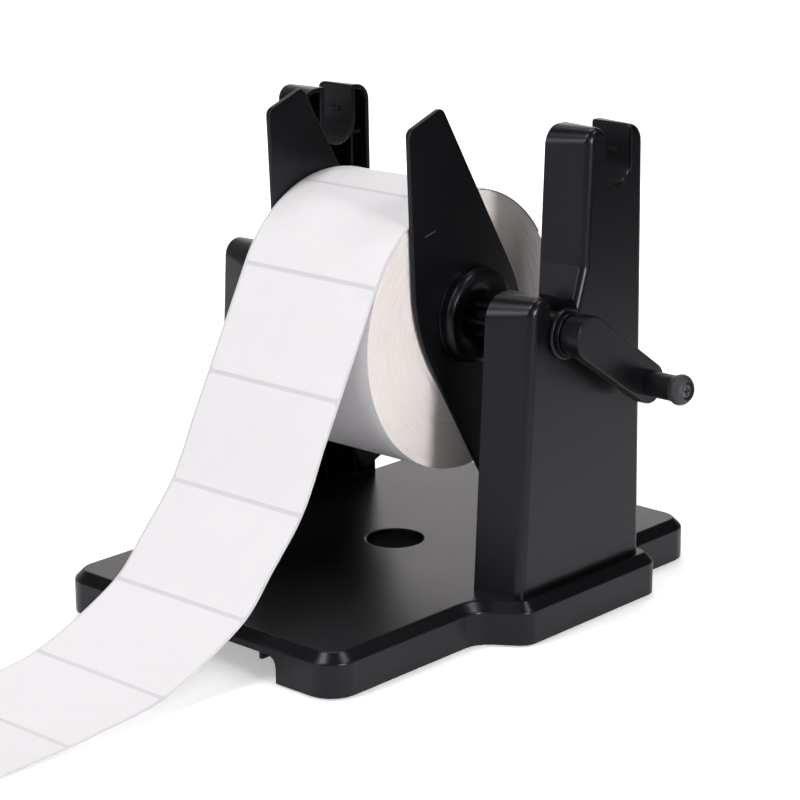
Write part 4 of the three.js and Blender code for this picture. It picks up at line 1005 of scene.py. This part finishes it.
def studio():
    """A wide white floor that turns up into a wall behind, under soft boxes. The floor glows a little, so it
    stays white in the picture. A dark patch on it beside the object, hidden from the camera, is painted shade
    that stands in for unlit floor and darkens the right faces."""
    reach = np.array([-8.0, 1.9, 2.2, 2.5, 2.75, 2.9, 2.95, 3.0, 3.0])
    height = np.array([0, 0, 0.03, 0.13, 0.33, 0.65, 1.0, 1.5, 5.0])
    across = np.linspace(-8, 8, 3)
    turn = math.radians(STUDIO_TURN)
    away = np.array([-math.sin(turn), math.cos(turn)])
    side = np.array([away[1], -away[0]])
    ground = reach[:, None, None] * away + across[None, :, None] * side
    up = np.broadcast_to(height[:, None, None], (*ground.shape[:2], 1)) + (TABLE - 0.02) * MM
    points = np.concatenate([ground, up], -1).reshape(-1, 3)
    mesh = bpy.data.meshes.new("floor")
    mesh.from_pydata(points.tolist(), [], grid_faces(*ground.shape[:2], close_columns=False))
    mesh.polygons.foreach_set("use_smooth", np.ones(len(mesh.polygons), bool))
    f = Finish("floor_white")
    x, y, _ = f.parts(f.place())
    behind = x * float(away[0]) + y * float(away[1])
    far = ((x * x + y * y) ** 0.5).step(1.2, 2.8) * (1 - behind.step(1.0, 1.6))
    paper = f.mixed(f.noise(3, 2), (0.93, 0.93, 0.93), (0.95, 0.95, 0.95))
    seen = f.node("ShaderNodeLightPath", out="Is Camera Ray")
    glow = f.mixed(far, f.mixed(seen, (0.2, 0.2, 0.2), (0.4, 0.4, 0.4)), (0.75, 0.75, 0.75))
    beside = x * float(side[0]) + y * float(side[1]) - behind * 0.3
    # painted shade: a dark patch on the floor that only rays other than the camera's meet, darkening the
    # right faces
    painted_floor_shade = beside.step(0.45, 0.85) * (1 - seen)
    mesh.materials.append(f.done(
        Base_Color=f.mixed(painted_floor_shade, paper, (0.05, 0.05, 0.05)), Roughness=0.8,
        Emission_Color=f.mixed(painted_floor_shade, glow, (0, 0, 0)), Emission_Strength=1.0,
    ))
    floor = bpy.data.objects.new("floor", mesh)
    bpy.context.scene.collection.objects.link(floor)

    world = bpy.data.worlds.new("studio")
    bpy.context.scene.world = world
    world.use_nodes = True
    backdrop = world.node_tree.nodes["Background"]
    backdrop.inputs["Color"].default_value = (1.0, 0.985, 0.975, 1)
    backdrop.inputs["Strength"].default_value = 0.04
    plain = world.node_tree.nodes.new("ShaderNodeBackground")
    path = world.node_tree.nodes.new("ShaderNodeLightPath")
    either = world.node_tree.nodes.new("ShaderNodeMixShader")
    world.node_tree.links.new(path.outputs["Is Camera Ray"], either.inputs[0])
    world.node_tree.links.new(backdrop.outputs[0], either.inputs[1])
    world.node_tree.links.new(plain.outputs[0], either.inputs[2])
    plain.inputs["Color"].default_value = (0.97, 0.97, 0.97, 1)
    world.node_tree.links.new(either.outputs[0], world.node_tree.nodes["World Output"].inputs["Surface"])

    def spot(out, right, z):
        """A place so far behind the object, seen from the camera, so far to its right and so high."""
        return (*(away * out + side * right), z)

    light("top_box", spot(0.9, 0, 2.2), spot(0.5, 0, 0), (0.9, 0.9), 3.4, 80)
    light("wall_box", spot(1.3, 0, 2.4), spot(2.6, 0, 0.3), (1.6, 0.6), 28, 120, (1.0, 0.945, 0.97))
    light("front_box", spot(-1.6, 0, 1.15), spot(0, 0, 0.06), (0.25, 0.25), 0.15, 60)
    light("side_box", (1.5, -0.30, 0.42), (0.05, -0.05, 0.1), (0.3, 0.3), 1.6, 60)
    light("left_box", (-0.32, -1.55, 0.81), (0, 0, 0.1), (0.5, 0.5), 6.1)
    light("low_left", (-0.62, -1.60, 0.36), (0.09, 0, 0.14), (0.35, 0.25), 0.04, 40)
    light("over_left", (-0.185, -0.94, 1.48), (0, 0, 0), (0.5, 0.5), 8.9)
    light("over_right", (0.88, 0.37, 1.41), (0, 0, 0), (0.32, 0.32), 4.4)
    bpy.context.scene.view_settings.view_transform = "Standard"


studio()
